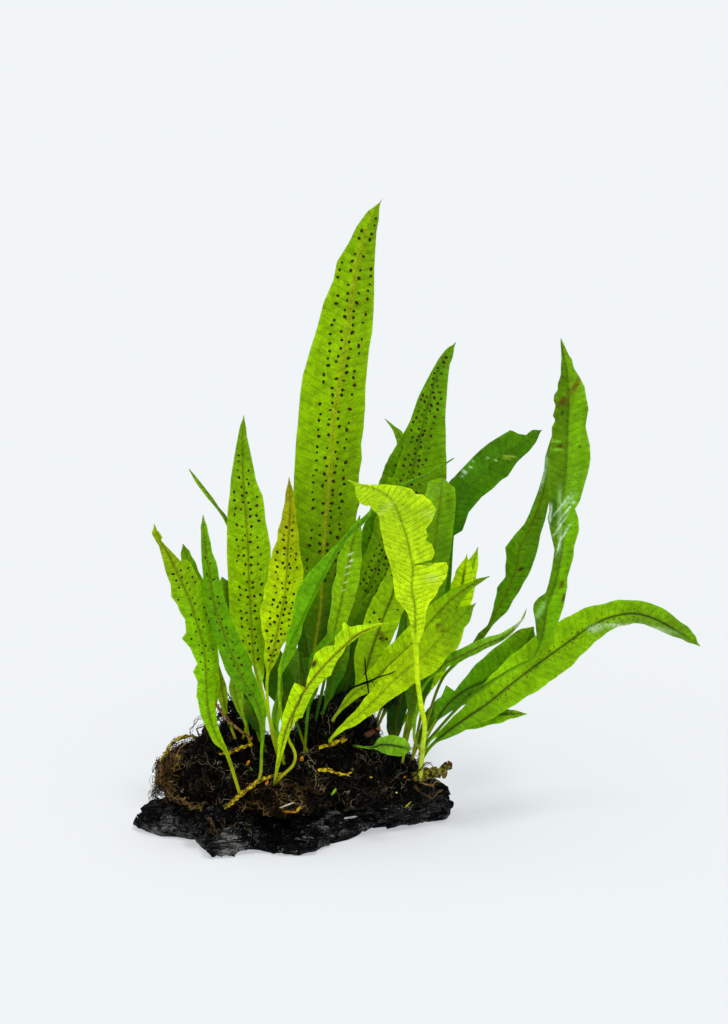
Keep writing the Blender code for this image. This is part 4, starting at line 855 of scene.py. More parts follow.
    "frond_sprout_low": dict(turn=(14, 10), fold=6, green=(45, 85, 4), spine=[
        (-14, 50, 0, 1.7), (-16, 57, -1.5, 6), (-20, 63, -1.5, 9), (-25, 67.5, -1, 6), (-29, 70, 0, 0.8),
    ]),
    "frond_hanging": dict(turn=(-12, -16), fold=6, green=(110, 175, 8), spine=[
        (-5, 46, -6, 1.8), (-7.5, 54, -7.5, 4), (-6.8, 63, -8, 4.4), (-5.4, 71, -8, 3), (-4, 80, -8, 0.8),
    ]),
    "frond_inner_broad": dict(turn=(12, 18), fold=7, green=(50, 100, 3), spine=[
        (24, 60, 20, 1.9), (27, 72, 20, 9), (30, 85, 20, 13), (34, 100, 20, 12), (38, 114, 21, 7),
        (42, 126, 22, 0.8),
    ]),
    "frond_inner_round": dict(turn=(-16, -10), fold=6, green=(70, 130, 5), spine=[
        (14, 54, 6, 1.7), (17, 64, 6, 2.1), (20, 74, 6, 5), (23, 84, 5, 9), (26, 91, 4, 7),
        (30, 97, 3, 0.8),
    ]),
    "frond_right_inner": dict(turn=(20, 14), fold=7, green=(42, 85, 3), spine=[
        (52, 46, 22, 1.7), (52.5, 56, 24, 8), (54, 66, 26, 10), (57, 78, 28, 8), (61, 92, 30, 0.8),
    ]),
    "frond_rear_left": dict(turn=(160, 170), fold=8, green=(90, 140, 5), spine=[
        (-26, 50, 22, 1.7), (-27, 66, 34, 3), (-24, 90, 46, 12), (-21, 116, 56, 19), (-20, 142, 66, 14),
        (-21, 166, 78, 1),
    ]),
    "frond_rear_middle": dict(turn=(196, 190), fold=8, green=(90, 140, 5), spine=[
        (8, 60, 32, 1.9), (7, 84, 42, 5), (11, 115, 50, 17), (16, 148, 57, 22), (21, 180, 66, 16),
        (26, 205, 76, 1),
    ]),
    "frond_rear_low": dict(turn=(172, 150), fold=8, green=(90, 140, 5), spine=[
        (-4, 50, 32, 1.7), (-2, 58, 46, 3), (2, 72, 62, 13), (6, 88, 80, 18), (8, 100, 98, 1),
    ]),
    "frond_rear_right": dict(turn=(204, 210), fold=8, green=(90, 140, 5), spine=[
        (44, 56, 30, 1.7), (50, 70, 44, 4), (57, 92, 60, 14), (63, 112, 76, 16), (68, 128, 94, 1),
    ]),
}
youngFronds = ("frond_front_pale", "frond_front_small", "frond_right_light", "frond_left_pale")


def courseThrough(stations, perSpan=40):
    # a smooth curve through the stations, and each point's place between them
    ends = [stations[0] * 2 - stations[1], *stations, stations[-1] * 2 - stations[-2]]
    points = []
    marks = []
    for i in range(len(stations) - 1):
        a, b, c, d = ends[i:i + 4]
        rise, bend, sway = c - a, a * 2 - b * 5 + c * 4 - d, b * 3 - a - c * 3 + d
        for k in range(perSpan):
            t = k / perSpan
            points.append((b * 2 + rise * t + bend * t**2 + sway * t**3) / 2)
            marks.append(i + t)
    return np.array(points + [stations[-1]]), np.array(marks + [len(stations) - 1])


def eased(share):
    return share * share * (3 - 2 * share)


def widthAt(widths, marks):
    low = np.minimum(marks.astype(int), len(widths) - 2)
    widths = np.array(widths)
    return widths[low] + (widths[low + 1] - widths[low]) * eased(marks - low)


def unit(vectors):
    return vectors / np.linalg.norm(vectors, axis=1)[:, None]


def rowPlaces(run, marks, widths, shape):
    # rows stand close along the blade and further apart along the stipe
    places = [0.0]
    while places[-1] < run[-1]:
        mark = np.array([np.interp(places[-1], run, marks)])
        narrow = widthAt(widths, mark)[0] < 2 * shape["stipeRadius"] * shape["bladeStarts"][0]
        places.append(places[-1] + shape["stipeStep" if narrow else "rowStep"])
    return np.array(places[:-2] + [run[-1]])


def noiseAlong(places, grain, lane):
    return np.array([noise.noise(Vector((place / grain, lane, 0.5))) for place in places])


def reachTo(line, spots, ways):
    # how far each spot is, along its way, from a traced margin, or nan where it passes the margin by
    starts, ends = np.array(line[:-1], float), np.array(line[1:], float)
    spans = ends - starts
    found = np.full(len(spots), np.nan)
    for i, (spot, way) in enumerate(zip(spots, ways)):
        cross = way[0] * spans[:, 1] - way[1] * spans[:, 0]
        gap = starts - spot
        far = (gap[:, 0] * spans[:, 1] - gap[:, 1] * spans[:, 0]) / cross
        place = (gap[:, 0] * way[1] - gap[:, 1] * way[0]) / cross
        met = far[(place >= 0) & (place <= 1) & (far > 0)]
        if len(met):
            found[i] = met.min()
    return found


def rootedAt(foot, above, reach, deep):
    # where a stalk whose foot hangs in the air runs on into what grows below it
    near, normal, _, _ = min((surface.find_nearest(foot) for surface in ground), key=lambda spot: spot[3])
    if (foot - near).dot(normal) <= 0:
        return None
    onward = (foot - above).normalized()
    hit = firstHit(ground, foot, onward, reach * mm)
    if hit is None:
        return near - normal * deep * mm
    return hit[0] + onward * deep * mm


def frondRows(shape):
    # the rows that a frond is lofted through: how far along it they are, where, and how wide
    stations = [placed(*spot[:3]) for spot in shape["spine"]]
    widths = [spot[3] for spot in shape["spine"]]
    root = rootedAt(stations[0], stations[1], shape["footReach"], shape["footDepth"])
    if root is not None:
        stations.insert(0, root)
        widths.insert(0, widths[0])
    course, marks = courseThrough([station / mm for station in stations])
    run = np.concatenate([[0], np.cumsum(np.linalg.norm(np.diff(course, axis=0), axis=1))])
    rows = SimpleNamespace(places=rowPlaces(run, marks, widths, shape))
    rows.share = rows.places / run[-1]
    rows.middle = np.stack([np.interp(rows.places, run, course[:, k]) for k in range(3)], axis=1)
    rows.plain = widthAt(widths, np.interp(rows.places, run, marks)) / 2
    rows.ending = np.clip((1 - rows.share) / shape["tipShare"], 0.04, 1) ** 0.5
    return rows


def turnRows(rows, shape):
    # each row's right and front, turned away from the viewer, and how much of its width shows
    first, last = shape["turn"]
    turn = np.radians(first + (last - first) * rows.share)[:, None]
    tangent = unit(np.gradient(rows.middle, rows.places, axis=0))
    flatRight = unit(np.cross(rows.middle - np.array(eye) / mm, tangent))
    rows.right = flatRight * np.cos(turn) + np.cross(tangent, flatRight) * np.sin(turn)
    rows.front = np.cross(rows.right, tangent)
    rows.shown = np.maximum(shape["leastShown"], np.abs(np.cos(turn[:, 0])))


def tracedWidths(trace, rows, side, least):
    # each row's reach to a traced margin, narrowing past the end of the trace
    here = onSheet(rows.middle * mm)
    ways = onSheet((rows.middle + rows.right * side) * mm) - here
    sheetScale = np.linalg.norm(ways, axis=1)
    traced = reachTo(trace, here, ways / sheetScale[:, None]) / sheetScale
    last = np.flatnonzero(~np.isnan(traced))[-1]
    traced[last + 1:] = traced[last] * np.linspace(1, least, len(traced) - last)[1:]
    return traced


def widenRows(rows, shape, lane):
    # how much of a blade each row is, and how far it reaches to both sides of its midrib
    narrow, wide = shape["bladeStarts"]
    lowest, over = shape["bladeFrom"]
    blade = np.clip((rows.plain / shape["stipeRadius"] - narrow) / (wide - narrow), 0, 1)
    rows.blade = np.maximum(eased(blade), eased(np.clip((rows.share - lowest) / over, 0, 1)))
    stipe = np.minimum(rows.plain, shape["stipeRadius"])
    rows.half = stipe * (1 - rows.blade) + rows.plain / rows.shown * rows.blade
    bow = np.sin(math.pi * np.minimum(rows.share, 0.97)) ** 0.5
    aside = shape["skew"] * rows.half * rows.blade * bow
    rows.middle = rows.middle + rows.right * aside[:, None]
    rows.halves = []
    share, finer = shape["scallopFine"]
    for side, edge in ((-1, "left"), (1, "right")):
        grain = noiseAlong(rows.places, shape["scallopLength"], lane + side * 0.3)
        grain += share * noiseAlong(rows.places, shape["scallopLength"] / finer, lane + side * 0.7)
        width = (rows.half - side * aside) * (1 + shape["scallop"] * grain * rows.blade)
        if edge in shape["edges"]:
            traced = tracedWidths(shape["edges"][edge], rows, side, shape["traceEnd"])
            width = np.where(np.isnan(traced) | (rows.blade < 0.2), width, traced)
        rows.halves.append(width * rows.ending)


def frondGrid(rows, shape, lane):
    # every point of the frond by row and column: how far across, aside, lifted and thick it is
    steps = np.arange(-shape["columns"], shape["columns"] + 1) / shape["columns"]
    across = (np.sign(steps) * np.abs(steps) ** shape["crowding"])[None, :]
    fromRib = np.abs(across)
    grid = SimpleNamespace(across=across, blade=rows.blade[:, None])
    grid.reach = np.where(across < 0, rows.halves[0][:, None], rows.halves[1][:, None])
    angle = math.pi * (0.5 - shape["stipeRound"] * across)
    bent = rows.half[:, None] * np.cos(angle) * (1 - grid.blade)
    grid.aside = bent + grid.reach * across * grid.blade
    away = np.abs(grid.aside)

    stray, grain = shape["veinWarp"]
    warp = noiseAlong(rows.places, grain, lane + 5)[:, None] * stray
    slant = away * (shape["veinSlope"] + shape["veinBend"] * away)
    grid.vein = (rows.places[:, None] - slant + warp) / shape["veinGap"] + np.where(across < 0, 0.5, 0)
    nearRib, nearEdge = shape["quiltFade"]
    inner = np.clip(fromRib * nearRib, 0, 1) * np.clip((1 - fromRib) * nearEdge, 0, 1)
    quilt = -shape["veinRelief"] * np.cos(2 * math.pi * grid.vein) * inner

    stray, grain = shape["ruffleDrift"]
    swing = rows.places / shape["ruffleLength"] + stray * noiseAlong(rows.places, grain, lane + 9)
    left, right = shape["ruffleLanes"]
    waves = np.sin(2 * math.pi * (swing[:, None] + np.where(across < 0, left * lane, right * lane)))
    base, stray, grain = shape["ruffleUneven"]
    uneven = base + stray * noiseAlong(rows.places, grain, lane + 13)[:, None]
    full = np.minimum(1, grid.reach / shape["ruffleFull"])
    ruffle = shape["ruffle"] * waves * uneven * across**2 * full
    droop = -away * math.tan(math.radians(shape["fold"])) * fromRib ** shape["foldCurve"]
    lift = (droop + ruffle + quilt) * grid.blade

    rib = shape["ribHeight"] * np.exp(-((grid.aside / shape["ribWidth"]) ** 2))
    rib = rib * (1 - shape["ribTaper"] * rows.share[:, None]) * rows.ending[:, None]
    thin = shape["marginThickness"]
    thick = thin + (shape["middleThickness"] - thin) * (1 - across**2)
    stipe = shape["stipeRadius"] * shape["stipeFlatness"] * np.sin(angle) * (1 - grid.blade)
    grid.front = lift + (thick / 2 + rib) * grid.blade + stipe
    grid.back = lift - (thick / 2 + rib * shape["backRib"]) * grid.blade - stipe
    return grid


def ringFaces(rows, ring, columns):
    # quads between the rings of points, and the caps that close both ends
    index = np.arange(rows * ring).reshape(rows, ring)
    following = np.roll(index, -1, axis=1)
    sides = np.stack([index[:-1], following[:-1], following[1:], index[1:]], axis=-1).reshape(-1, 4)
    caps = []
    for row, turned in ((0, False), (rows - 1, True)):
        for k in range(columns - 1):
            a, b = index[row, k], index[row, k + 1]
            corners = (a, index[row, ring - 1 - k], index[row, ring - 2 - k], b)
            caps.append(corners[::-1] if turned else corners)
    return sides, caps


# How the colours of a frond go over into each other.
# drift: mm between lighter and darker greens, and how much they differ; rim: how much brighter the
# margin is, and how strongly; ribSpread: the coloured midrib's width against the raised one's;
# markDrift: how strong a mark is, and how much that drifts; the fades: how steep, and how late.
frondTints = {
    "drift": (9, 0.22),
    "rim": (1.25, 0.5),
    "ribSpread": 0.75,
    "markDrift": (0.9, 0.6),
    "tipFade": (2.2, 1.2),
    "rimFade": (8, 7),
    "shadedSideFade": (4, -0.5),
}


def mixRows(first, second, share):
    return first + (second - first) * np.asarray(share)[..., None]


def fade(values, key):
    steep, late = frondTints[key]
    return np.clip(values * steep - late, 0, 1)


def addStainsAndPaintedLight(colour, shape, drift, spots):
    # stains, and painted glints, sheen and shadow, each a soft-edged oval on the sheet
    flat = onSheet(np.array(spots)).reshape(drift.shape + (2,))
    base, swing = frondTints["markDrift"]
    for spot, long, wide, slope, stain in shape["marks"]:
        away = flat - np.array(spot)
        slant = math.radians(slope)
        offLong = (away[..., 0] * math.cos(slant) + away[..., 1] * math.sin(slant)) / long
        offWide = (away[..., 1] * math.cos(slant) - away[..., 0] * math.sin(slant)) / wide
        strength = np.exp(-((offLong**2 + offWide**2) ** 2)) * (base + swing * drift)
        colour = mixRows(colour, np.array(paint(*stain)[:3]), np.clip(strength, 0, 1))
    return colour


def frondPaint(shape, lane, along, across, aside, blade, spots):
    # the colour of every point: greens that drift, a midrib, a foot of its own, a painted shade on one
    # half, and the marks with their stains and painted glints, sheen and shadow
    green, foot, tip, rib = (np.array(paint(*shape[key])[:3]) for key in ("green", "foot", "tip", "rib"))
    grain, swing = frondTints["drift"]
    drift = np.array([noise.noise(spot / (grain * mm) + Vector((lane, 0, 0))) for spot in spots])
    drift = drift.reshape(across.shape)
    colour = mixRows(np.ones(across.shape + (3,)) * green, tip, eased(fade(along, "tipFade")))
    colour *= (1 + swing * drift)[..., None]
    brighter, share = frondTints["rim"]
    rim = np.minimum(colour * brighter, 1)
    colour = mixRows(colour, rim, share * fade(np.abs(across), "rimFade"))
    colour = mixRows(colour, foot, eased(np.clip(1 - along / shape["footShare"], 0, 1)))
    ribShare = np.exp(-((aside / (shape["ribWidth"] * frondTints["ribSpread"])) ** 2))
    ribShare = ribShare * shape["ribShade"] * blade
    ribShare *= np.clip((1 - along) / (3 * shape["tipShare"]), 0, 1)
    colour = mixRows(colour, rib, ribShare)
    # painted shade: one half of the blade darker, as where it turns away from the light
    left, right = shape["sides"]
    colour *= (left + (right - left) * eased(fade(across, "shadedSideFade")))[..., None]
    return addStainsAndPaintedLight(colour, shape, drift, spots) if shape["marks"] else colour


def buildFrond(name, lane, shape):
    rows = frondRows(shape)
    turnRows(rows, shape)
    widenRows(rows, shape, lane)
    grid = frondGrid(rows, shape, lane)

    forward = np.arange(grid.across.shape[1])
    order = np.concatenate([forward, forward[::-1]])
    out = np.concatenate([grid.front[:, forward], grid.back[:, forward[::-1]]], axis=1)
    flat = grid.aside[:, order, None] * rows.right[:, None, :] + out[:, :, None] * rows.front[:, None, :]
    points = (rows.middle[:, None, :] + flat).reshape(-1, 3) * mm
    ring = len(order)
    sides, caps = ringFaces(len(rows.places), ring, len(forward))
    mesh = bpy.data.meshes.new(name)
    mesh.from_pydata(points.tolist(), [], sides.tolist() + caps)

    known = (rows.share[:, None], grid.across, grid.aside, grid.blade)
    along, across, aside, blade = (np.broadcast_to(v, grid.front.shape)[:, order] for v in known)
    colour = frondPaint(shape, lane, along, across, aside, blade, [Vector(point) for point in points])
    tint = mesh.attributes.new("tint", "FLOAT_COLOR", "POINT")
    tint.data.foreach_set("color", np.append(colour, np.ones(colour.shape[:2] + (1,)), axis=2).ravel())
    labels = {
        "vein": grid.vein[:, order],
        "room": (grid.reach * (1 - np.abs(grid.across)))[:, order],
        "blade": blade,
        "midrib": np.exp(-((aside / shape["ribWidth"]) ** 2)) * blade,
    }
    for label, values in labels.items():
        mesh.attributes.new(label, "FLOAT", "POINT").data.foreach_set("value", values.ravel())
    dotSide = np.zeros(len(sides) + len(caps), bool)
    dotSide[:len(sides)] = np.tile(np.arange(ring) < len(forward) - 1, len(rows.places) - 1)
    mesh.attributes.new("dotSide", "BOOLEAN", "FACE").data.foreach_set("value", dotSide)
    leafMap = np.stack([aside, np.broadcast_to(rows.places[:, None], aside.shape)], axis=-1).reshape(-1, 2)
    corners = np.empty(len(mesh.loops), int)
    mesh.loops.foreach_get("vertex_index", corners)
    mesh.uv_layers.new(name="leaf").data.foreach_set("uv", (leafMap[corners] / shape["mapUnit"]).ravel())
    mesh.update()
    return addPiece(name.replace("frond", "blade"), mesh)


# The leaf skin's pattern, whose scales go by the leaf's flat map.
# veinSpan: where a vein's line starts and is full; net: scale and line width of the fine net.
# fleck, patch: a noise, then its ends and the darkest and lightest that they make the green.
# pins, beads: scale, strength and colour of dark marks on the blade and along the midrib.
# bump: mm deep, and its strength.
leafFinish = {
    "veinSpan": (0.395, 0.49),
    "veinTint": (0.2, 0.42, 0.12, 1),
    "net": (9, 0.09),
    "netTint": (0.62, 0.78, 0.4, 1),
    "fleck": ((26, 3, 0.6, 0.0), (0.32, 0.68, 0.66, 1.32)),
    "patch": ((3.2, 3, 0.55, 0.6), (0.3, 0.7, 0.76, 1.24)),
    "pins": (8.5, 0.75, (34, 40, 8)),
    "beads": (11, 0.8, (30, 22, 6)),
    "bump": (0.12, 0.7),
}


def frondMaterial(name, vein, net, rough, shine, glow):
    # wet leaf skin: the point colours, with veins, a fine net and pale flecks between them
    made, tree, shader = startMaterial(name, shine, IOR=1.4)
    shader.inputs["Subsurface Weight"].default_value = glow
    shader.inputs["Subsurface Radius"].default_value = (0.7, 1.0, 0.1)
    shader.inputs["Subsurface Scale"].default_value = 0.9 * mm
    leaf = outOf(tree, "ShaderNodeUVMap", uv_map="leaf")
    inRoom = inRoomOf(tree)
    blade = markOf(tree, "blade")
    wander = calc(tree, "MULTIPLY_ADD", grainOf(tree, leaf, 6, 2), 0.3, -0.15)
    turns = calc(tree, "FRACT", calc(tree, "ADD", markOf(tree, "vein"), wander))
    fromVein = calc(tree, "ABSOLUTE", calc(tree, "SUBTRACT", turns, 0.5))
    broken = ranged(tree, grainOf(tree, leaf, 2.2, 2), 0.3, 0.55, 0.25, 1.0)
    line = times(tree, ranged(tree, fromVein, *leafFinish["veinSpan"], smooth=True), broken)
    line = times(tree, line, blade)
    colour = markOf(tree, "tint", "Color")
    colour = mixed(tree, times(tree, line, vein), colour, leafFinish["veinTint"], "MULTIPLY")

    scale, width = leafFinish["net"]
    inputs = {"Vector": leaf, "Scale": scale}
    cells = addNode(tree, "ShaderNodeTexVoronoi", inputs, feature="DISTANCE_TO_EDGE")
    mesh = times(tree, ranged(tree, cells.outputs["Distance"], 0.0, width, 1, 0), blade)
    colour = mixed(tree, times(tree, mesh, net), colour, leafFinish["netTint"], "MULTIPLY")

    scale, strength, dark = leafFinish["pins"]
    pins = addNode(tree, "ShaderNodeTexVoronoi", {"Vector": leaf, "Scale": scale})
    chosen = outOf(tree, "ShaderNodeSeparateColor", {0: pins.outputs["Color"]})
    pin = ranged(tree, pins.outputs["Distance"], 0.12, 0.3, 1, 0)
    pin = times(tree, pin, ranged(tree, chosen, 0.8, 0.82))
    colour = mixed(tree, times(tree, pin, strength), colour, paint(*dark))

    scale, strength, dark = leafFinish["beads"]
    beads = ranged(tree, grainOf(tree, leaf, scale, 3, 0.7), 0.54, 0.62)
    beads = times(tree, beads, ranged(tree, markOf(tree, "midrib"), 0.5, 0.9))
    colour = mixed(tree, times(tree, beads, strength), colour, paint(*dark))

    fleckGrain, fleckEnds = leafFinish["fleck"]
    patchGrain, patchEnds = leafFinish["patch"]
    fleck = grainOf(tree, leaf, *fleckGrain)
    patch = grainOf(tree, leaf, *patchGrain)
    bright = times(tree, ranged(tree, fleck, *fleckEnds), ranged(tree, patch, *patchEnds))
    wire(tree, scaled(tree, colour, bright), shader, "Base Color")
    height = calc(tree, "MULTIPLY_ADD", mesh, -0.25, calc(tree, "MULTIPLY_ADD", line, -0.5, fleck))
    height = calc(tree, "MULTIPLY_ADD", grainOf(tree, inRoom, 420, 2), 0.6, height)
    deep, strength = leafFinish["bump"]
    addBump(tree, shader, height, deep * mm, strength)
    rougher = ranged(tree, grainOf(tree, inRoom, 130, 2), 0.3, 0.7, rough - 0.1, rough + 0.12)
    wire(tree, rougher, shader, "Roughness")
    return made


ground = surfacesOf("root_mat", "rhizome")
leafSkin = frondMaterial("fern leaf", vein=0.46, net=0.55, rough=0.33, shine=0.08, glow=0.3)
youngSkin = frondMaterial("young fern leaf", vein=0.8, net=0.5, rough=0.3, shine=0.08, glow=0.35)
blades = {}
for lane, (name, frond) in enumerate(fronds.items()):
    blades[name] = buildFrond(name, lane + 1, {**frondShape, **frond})
print("fronds:", len(blades), "with", sum(len(blade.data.polygons) for blade in blades.values()), "faces")


# Spore dots in rows beside the midrib, where the veins fork; distances in mm of the leaf.
# slope: how much higher a dot sits for each mm out; margin: least room between dot and leaf edge.
# height: a dot's height, and widths, lengths: between what shares of its size it is wide and long.
# rounds: segments and rings of a dot.
sporeDots = {
    "height": 0.45,
    "slope": 0.4,
    "jitter": 0.8,
    "margin": 1.6,
    "widths": (0.7, 1.15),
    "lengths": (1.0, 1.45),
    "rounds": (8, 5),
}


def sporeMaterial():
    made, tree, shader = startMaterial("spore dots", 0.05, Roughness=0.8)
    inRoom = inRoomOf(tree)
    centre = calc(tree, "SUBTRACT", markOf(tree, "centre"), 0.3)
    tone = calc(tree, "MULTIPLY_ADD", grainOf(tree, inRoom, 1500, 2), 0.6, centre)
    shade = rampOf(tree, tone, [(0.4, paint(10, 5, 2)), (0.8, paint(38, 20, 8)), (1.0, paint(104, 60, 24))])
    wire(tree, shade, shader, "Base Color")
    addBump(tree, shader, grainOf(tree, inRoom, 3600, 2), 0.1 * mm)
    return made


def dotTree(material):
    # a sheet of points laid over the blade by its flat map, with a low round dot on each
    tree, given = startTree("spore dots", {
        "From": 0.0, "To": 100.0, "Row Gap": 4.0, "Columns": 4, "Column Gap": 4.2, "Slope": 0.4,
        "Jitter": 1.0, "Kept": 0.8, "Margin": 1.4, "Size": 0.001, "Height": 0.5, "Seed": 1,
    })
    chance = chancesOf(tree, given["Seed"])
    span = calc(tree, "SUBTRACT", given["To"], given["From"])
    rows = addNode(tree, "FunctionNodeFloatToInt", {0: calc(tree, "DIVIDE", span, given["Row Gap"])})
    width = times(tree, calc(tree, "SUBTRACT", given["Columns"], 1.0), given["Column Gap"])
    grid = {0: width, 1: span, 2: given["Columns"], 3: rows.outputs[0]}
    sheet = outOf(tree, "GeometryNodeMeshGrid", grid)
    points = outOf(tree, "GeometryNodeMeshToPoints", {0: sheet})

    spot = addNode(tree, "ShaderNodeSeparateXYZ", {0: placeOf(tree)}).outputs
    across = calc(tree, "MULTIPLY_ADD", chance(-1.0, 1.0, 1), given["Jitter"], spot[0])
    middle = times(tree, calc(tree, "ADD", given["From"], given["To"]), 0.5)
    raised = calc(tree, "MULTIPLY_ADD", calc(tree, "ABSOLUTE", across), given["Slope"], middle)
    along = calc(tree, "MULTIPLY_ADD", chance(-1.0, 1.0, 2), given["Jitter"], spot[1])
    flat = combined(tree, across, calc(tree, "ADD", along, raised))
    onMap = scaled(tree, flat, 1 / frondShape["mapUnit"])
    points = stored(tree, points, "sample", onMap, "FLOAT_VECTOR")

    inputs = {0: given["Geometry"], 1: named(tree, "dotSide", "BOOLEAN")}
    skin = outOf(tree, "GeometryNodeSeparateGeometry", inputs, domain="FACE")
    leaf = named(tree, "leaf", "FLOAT_VECTOR")
    where = named(tree, "sample", "FLOAT_VECTOR")

    def sampled(value, kind):
        inputs = {0: skin, 1: value, 2: leaf, 3: where}
        return addNode(tree, "GeometryNodeSampleUVSurface", inputs, data_type=kind).outputs

    place = sampled(placeOf(tree), "FLOAT_VECTOR")
    normal = sampled(normalOf(tree), "FLOAT_VECTOR")[0]
    roomy = calc(tree, "GREATER_THAN", sampled(named(tree, "room"), "FLOAT")[0], given["Margin"])
    kept = calc(tree, "LESS_THAN", chance(0.0, 1.0, 3), given["Kept"])
    good = times(tree, times(tree, roomy, kept), place[1])
    laid = outOf(tree, "GeometryNodeSetPosition", {0: points, 2: place[0]})

    around, upward = sporeDots["rounds"]
    dot = outOf(tree, "GeometryNodeMeshUVSphere", {0: around, 1: upward, 2: 1.0})
    peak = addNode(tree, "ShaderNodeSeparateXYZ", {0: placeOf(tree)}).outputs[2]
    dot = stored(tree, dot, "centre", peak)
    size = times(tree, chance(*sporeDots["widths"], 4), given["Size"])
    longer = times(tree, chance(*sporeDots["lengths"], 5), size)
    scale = combined(tree, longer, size, times(tree, size, given["Height"]))
    pose = standing(tree, normal, chance(0.0, math.pi, 6))
    inputs = {0: laid, 1: good, 2: dot, 5: pose, 6: scale}
    endTree(tree, outOf(tree, "GeometryNodeInstanceOnPoints", inputs), material)
    return tree


def joinedPiece(name, pieces):
    bm = bmesh.new()
    for piece in pieces:
        bm.from_mesh(piece.data)
        bpy.data.objects.remove(piece, do_unlink=True)
    return addPiece(name, meshFrom(bm, name))


def dotsOn(name, shape, seed):
    low, high, rowGap, columns, kept = shape["dots"]
    return grown(f"dots_{name}", blades[name].data.copy(), sporeTree, {
        "From": low, "To": high, "Row Gap": rowGap, "Columns": columns, "Column Gap": shape["dotGap"],
        "Slope": sporeDots["slope"], "Jitter": sporeDots["jitter"], "Kept": kept,
        "Margin": sporeDots["margin"], "Size": shape["dotSize"] * mm, "Height": sporeDots["height"],
        "Seed": seed,
    })


sporeSkin = sporeMaterial()
sporeTree = dotTree(sporeSkin)
dotted = []
for seed, (name, frond) in enumerate(fronds.items()):
    if "dots" in frond:
        dotted.append(dotsOn(name, {**frondShape, **frond}, seed * 10))
sori = joinedPiece("spore_dots", dotted)
finishPiece(sori, sporeSkin)
print("spore dots:", len(sori.data.polygons), "faces")

for name, piece in blades.items():
    young = name in youngFronds
    skin, slot = (youngSkin, "young_frond") if young else (leafSkin, "frond")
    finishPiece(piece, skin, [name], sharp=frondShape["sharp"])
print("fronds finished")


# The root mat: a dark lumpy body under layers of strands.
# lumps: (depth, grain) in mm of noise; spots: (across, up, reach) in mm and strength, where the
# roots are young and brown; bias: above 1, more of the strands are dark.
# gloom: scale of the noise that shades whole parts of the mat, its ends, and its darkest.
# drawn: scale, line width, strength and shift of the strands painted between the real ones.
# cool, warm: the colours of old and young roots at the tones.
rootMat = {
    "voxel": 1.2,
    "inset": -2.6,
    "lumps": ((2.6, 13.0), (1.8, 6.0), (1.0, 2.8)),
    "spots": [
        ((-58, 33, 9), 0.35), ((-5, 15, 9), 0.6), ((12, 22, 9), 0.35), ((-34, 11, 7), 0.35),
        ((40, 25, 8), 0.2), ((-44, 24, 7), 0.3), ((-20, 23, 8), 0.8), ((-18, 14, 8), 0.5),
    ],
    "bias": 1.75,
    "gloom": (60, 0.4, 0.58, 0.4),
    "drawn": ((230, 0.04, 0.75, 0), (310, 0.045, 0.5, 7), (420, 0.05, 0.35, 13)),
    "cool": ((0, 0, 0), (17, 16, 13), (70, 63, 46), (172, 160, 128)),
    "warm": ((1, 0, 0), (36, 24, 6), (112, 80, 24), (214, 168, 72)),
    "tones": (0.0, 0.3, 0.6, 1.0),
}

# What a strand tree is given. Density: strands per square metre; Copies: of each guide.
# Lowest, Highest: lift off the surface; Sink: how deep the ends go into it; Wander and Grain: how
# far and how finely a strand strays; Curl and Turns: radius and number of its curls; Darkest,
# Lightest: its shades. Layers, by their labels, and bundles give what strandLengths names in mm.
strandGiven = {
    "Density": 1000.0, "Copies": 6, "Shortest": 0.01, "Longest": 0.02, "Radius": 0.0002, "Lowest": 0.0,
    "Highest": 0.002, "Points": 12, "Sides": 3, "Wander": 0.003, "Grain": 150.0, "Curl": 0.001,
    "Turns": 2.0, "Darkest": 0.0, "Lightest": 1.0, "Warmth": 0.0, "Sink": 0.0012, "Seed": 1,
}
strandLengths = ("Shortest", "Longest", "Radius", "Lowest", "Highest", "Wander", "Curl", "Sink")
# How far strands differ from each other, as shares of what they are given; ends: how thin they end.
strandVaries = {"turns": (2.0, 9.0), "curl": (0.2, 1.2), "warmth": (0.2, 1.4), "girth": (0.55, 1.5)}
strandEnds = 0.4
layerLabels = (
    "Density", "Shortest", "Longest", "Radius", "Lowest", "Highest", "Points", "Wander", "Grain", "Curl",
    "Turns", "Darkest", "Lightest",
)
matLayers = {
    "root_felt": (118000, 3, 8, 0.14, -0.6, 1.6, 12, 1.0, 330, 0.9, 1.6, 0.05, 0.95),
    "root_strands": (56000, 5, 14, 0.14, 0.2, 2.8, 19, 1.8, 230, 1.0, 1.5, 0.1, 1.0),
    "root_loops": (14000, 8, 22, 0.13, 1.0, 4.2, 26, 2.4, 150, 0.8, 1.2, 0.25, 1.05),
}


def rootColour(tree, tone, warmth):
    ramps = []
    for key in ("cool", "warm"):
        stops = [(place, paint(*colour)) for place, colour in zip(rootMat["tones"], rootMat[key])]
        ramps.append(rampOf(tree, tone, stops))
    return mixed(tree, warmth, *ramps)


def rootMaterial():
    made, tree, shader = startMaterial("roots", 0.12, IOR=1.4)
    inRoom = inRoomOf(tree)
    scale, low, high, least = rootMat["gloom"]
    lit = ranged(tree, grainOf(tree, inRoom, scale, 2), low, high, least, 1.0)
    shade = calc(tree, "MAXIMUM", markOf(tree, "shade"), 0.0)
    tone = times(tree, calc(tree, "POWER", shade, rootMat["bias"]), lit)
    tone = calc(tree, "ADD", tone, calc(tree, "MULTIPLY_ADD", grainOf(tree, inRoom, 210, 3), 0.7, -0.33))
    wire(tree, rootColour(tree, tone, markOf(tree, "warmth")), shader, "Base Color")
    wire(tree, ranged(tree, grainOf(tree, inRoom, 600, 2), 0.35, 0.65, 0.18, 0.6), shader, "Roughness")
    addBump(tree, shader, grainOf(tree, inRoom, 1600, 2), 0.1 * mm)
    return made


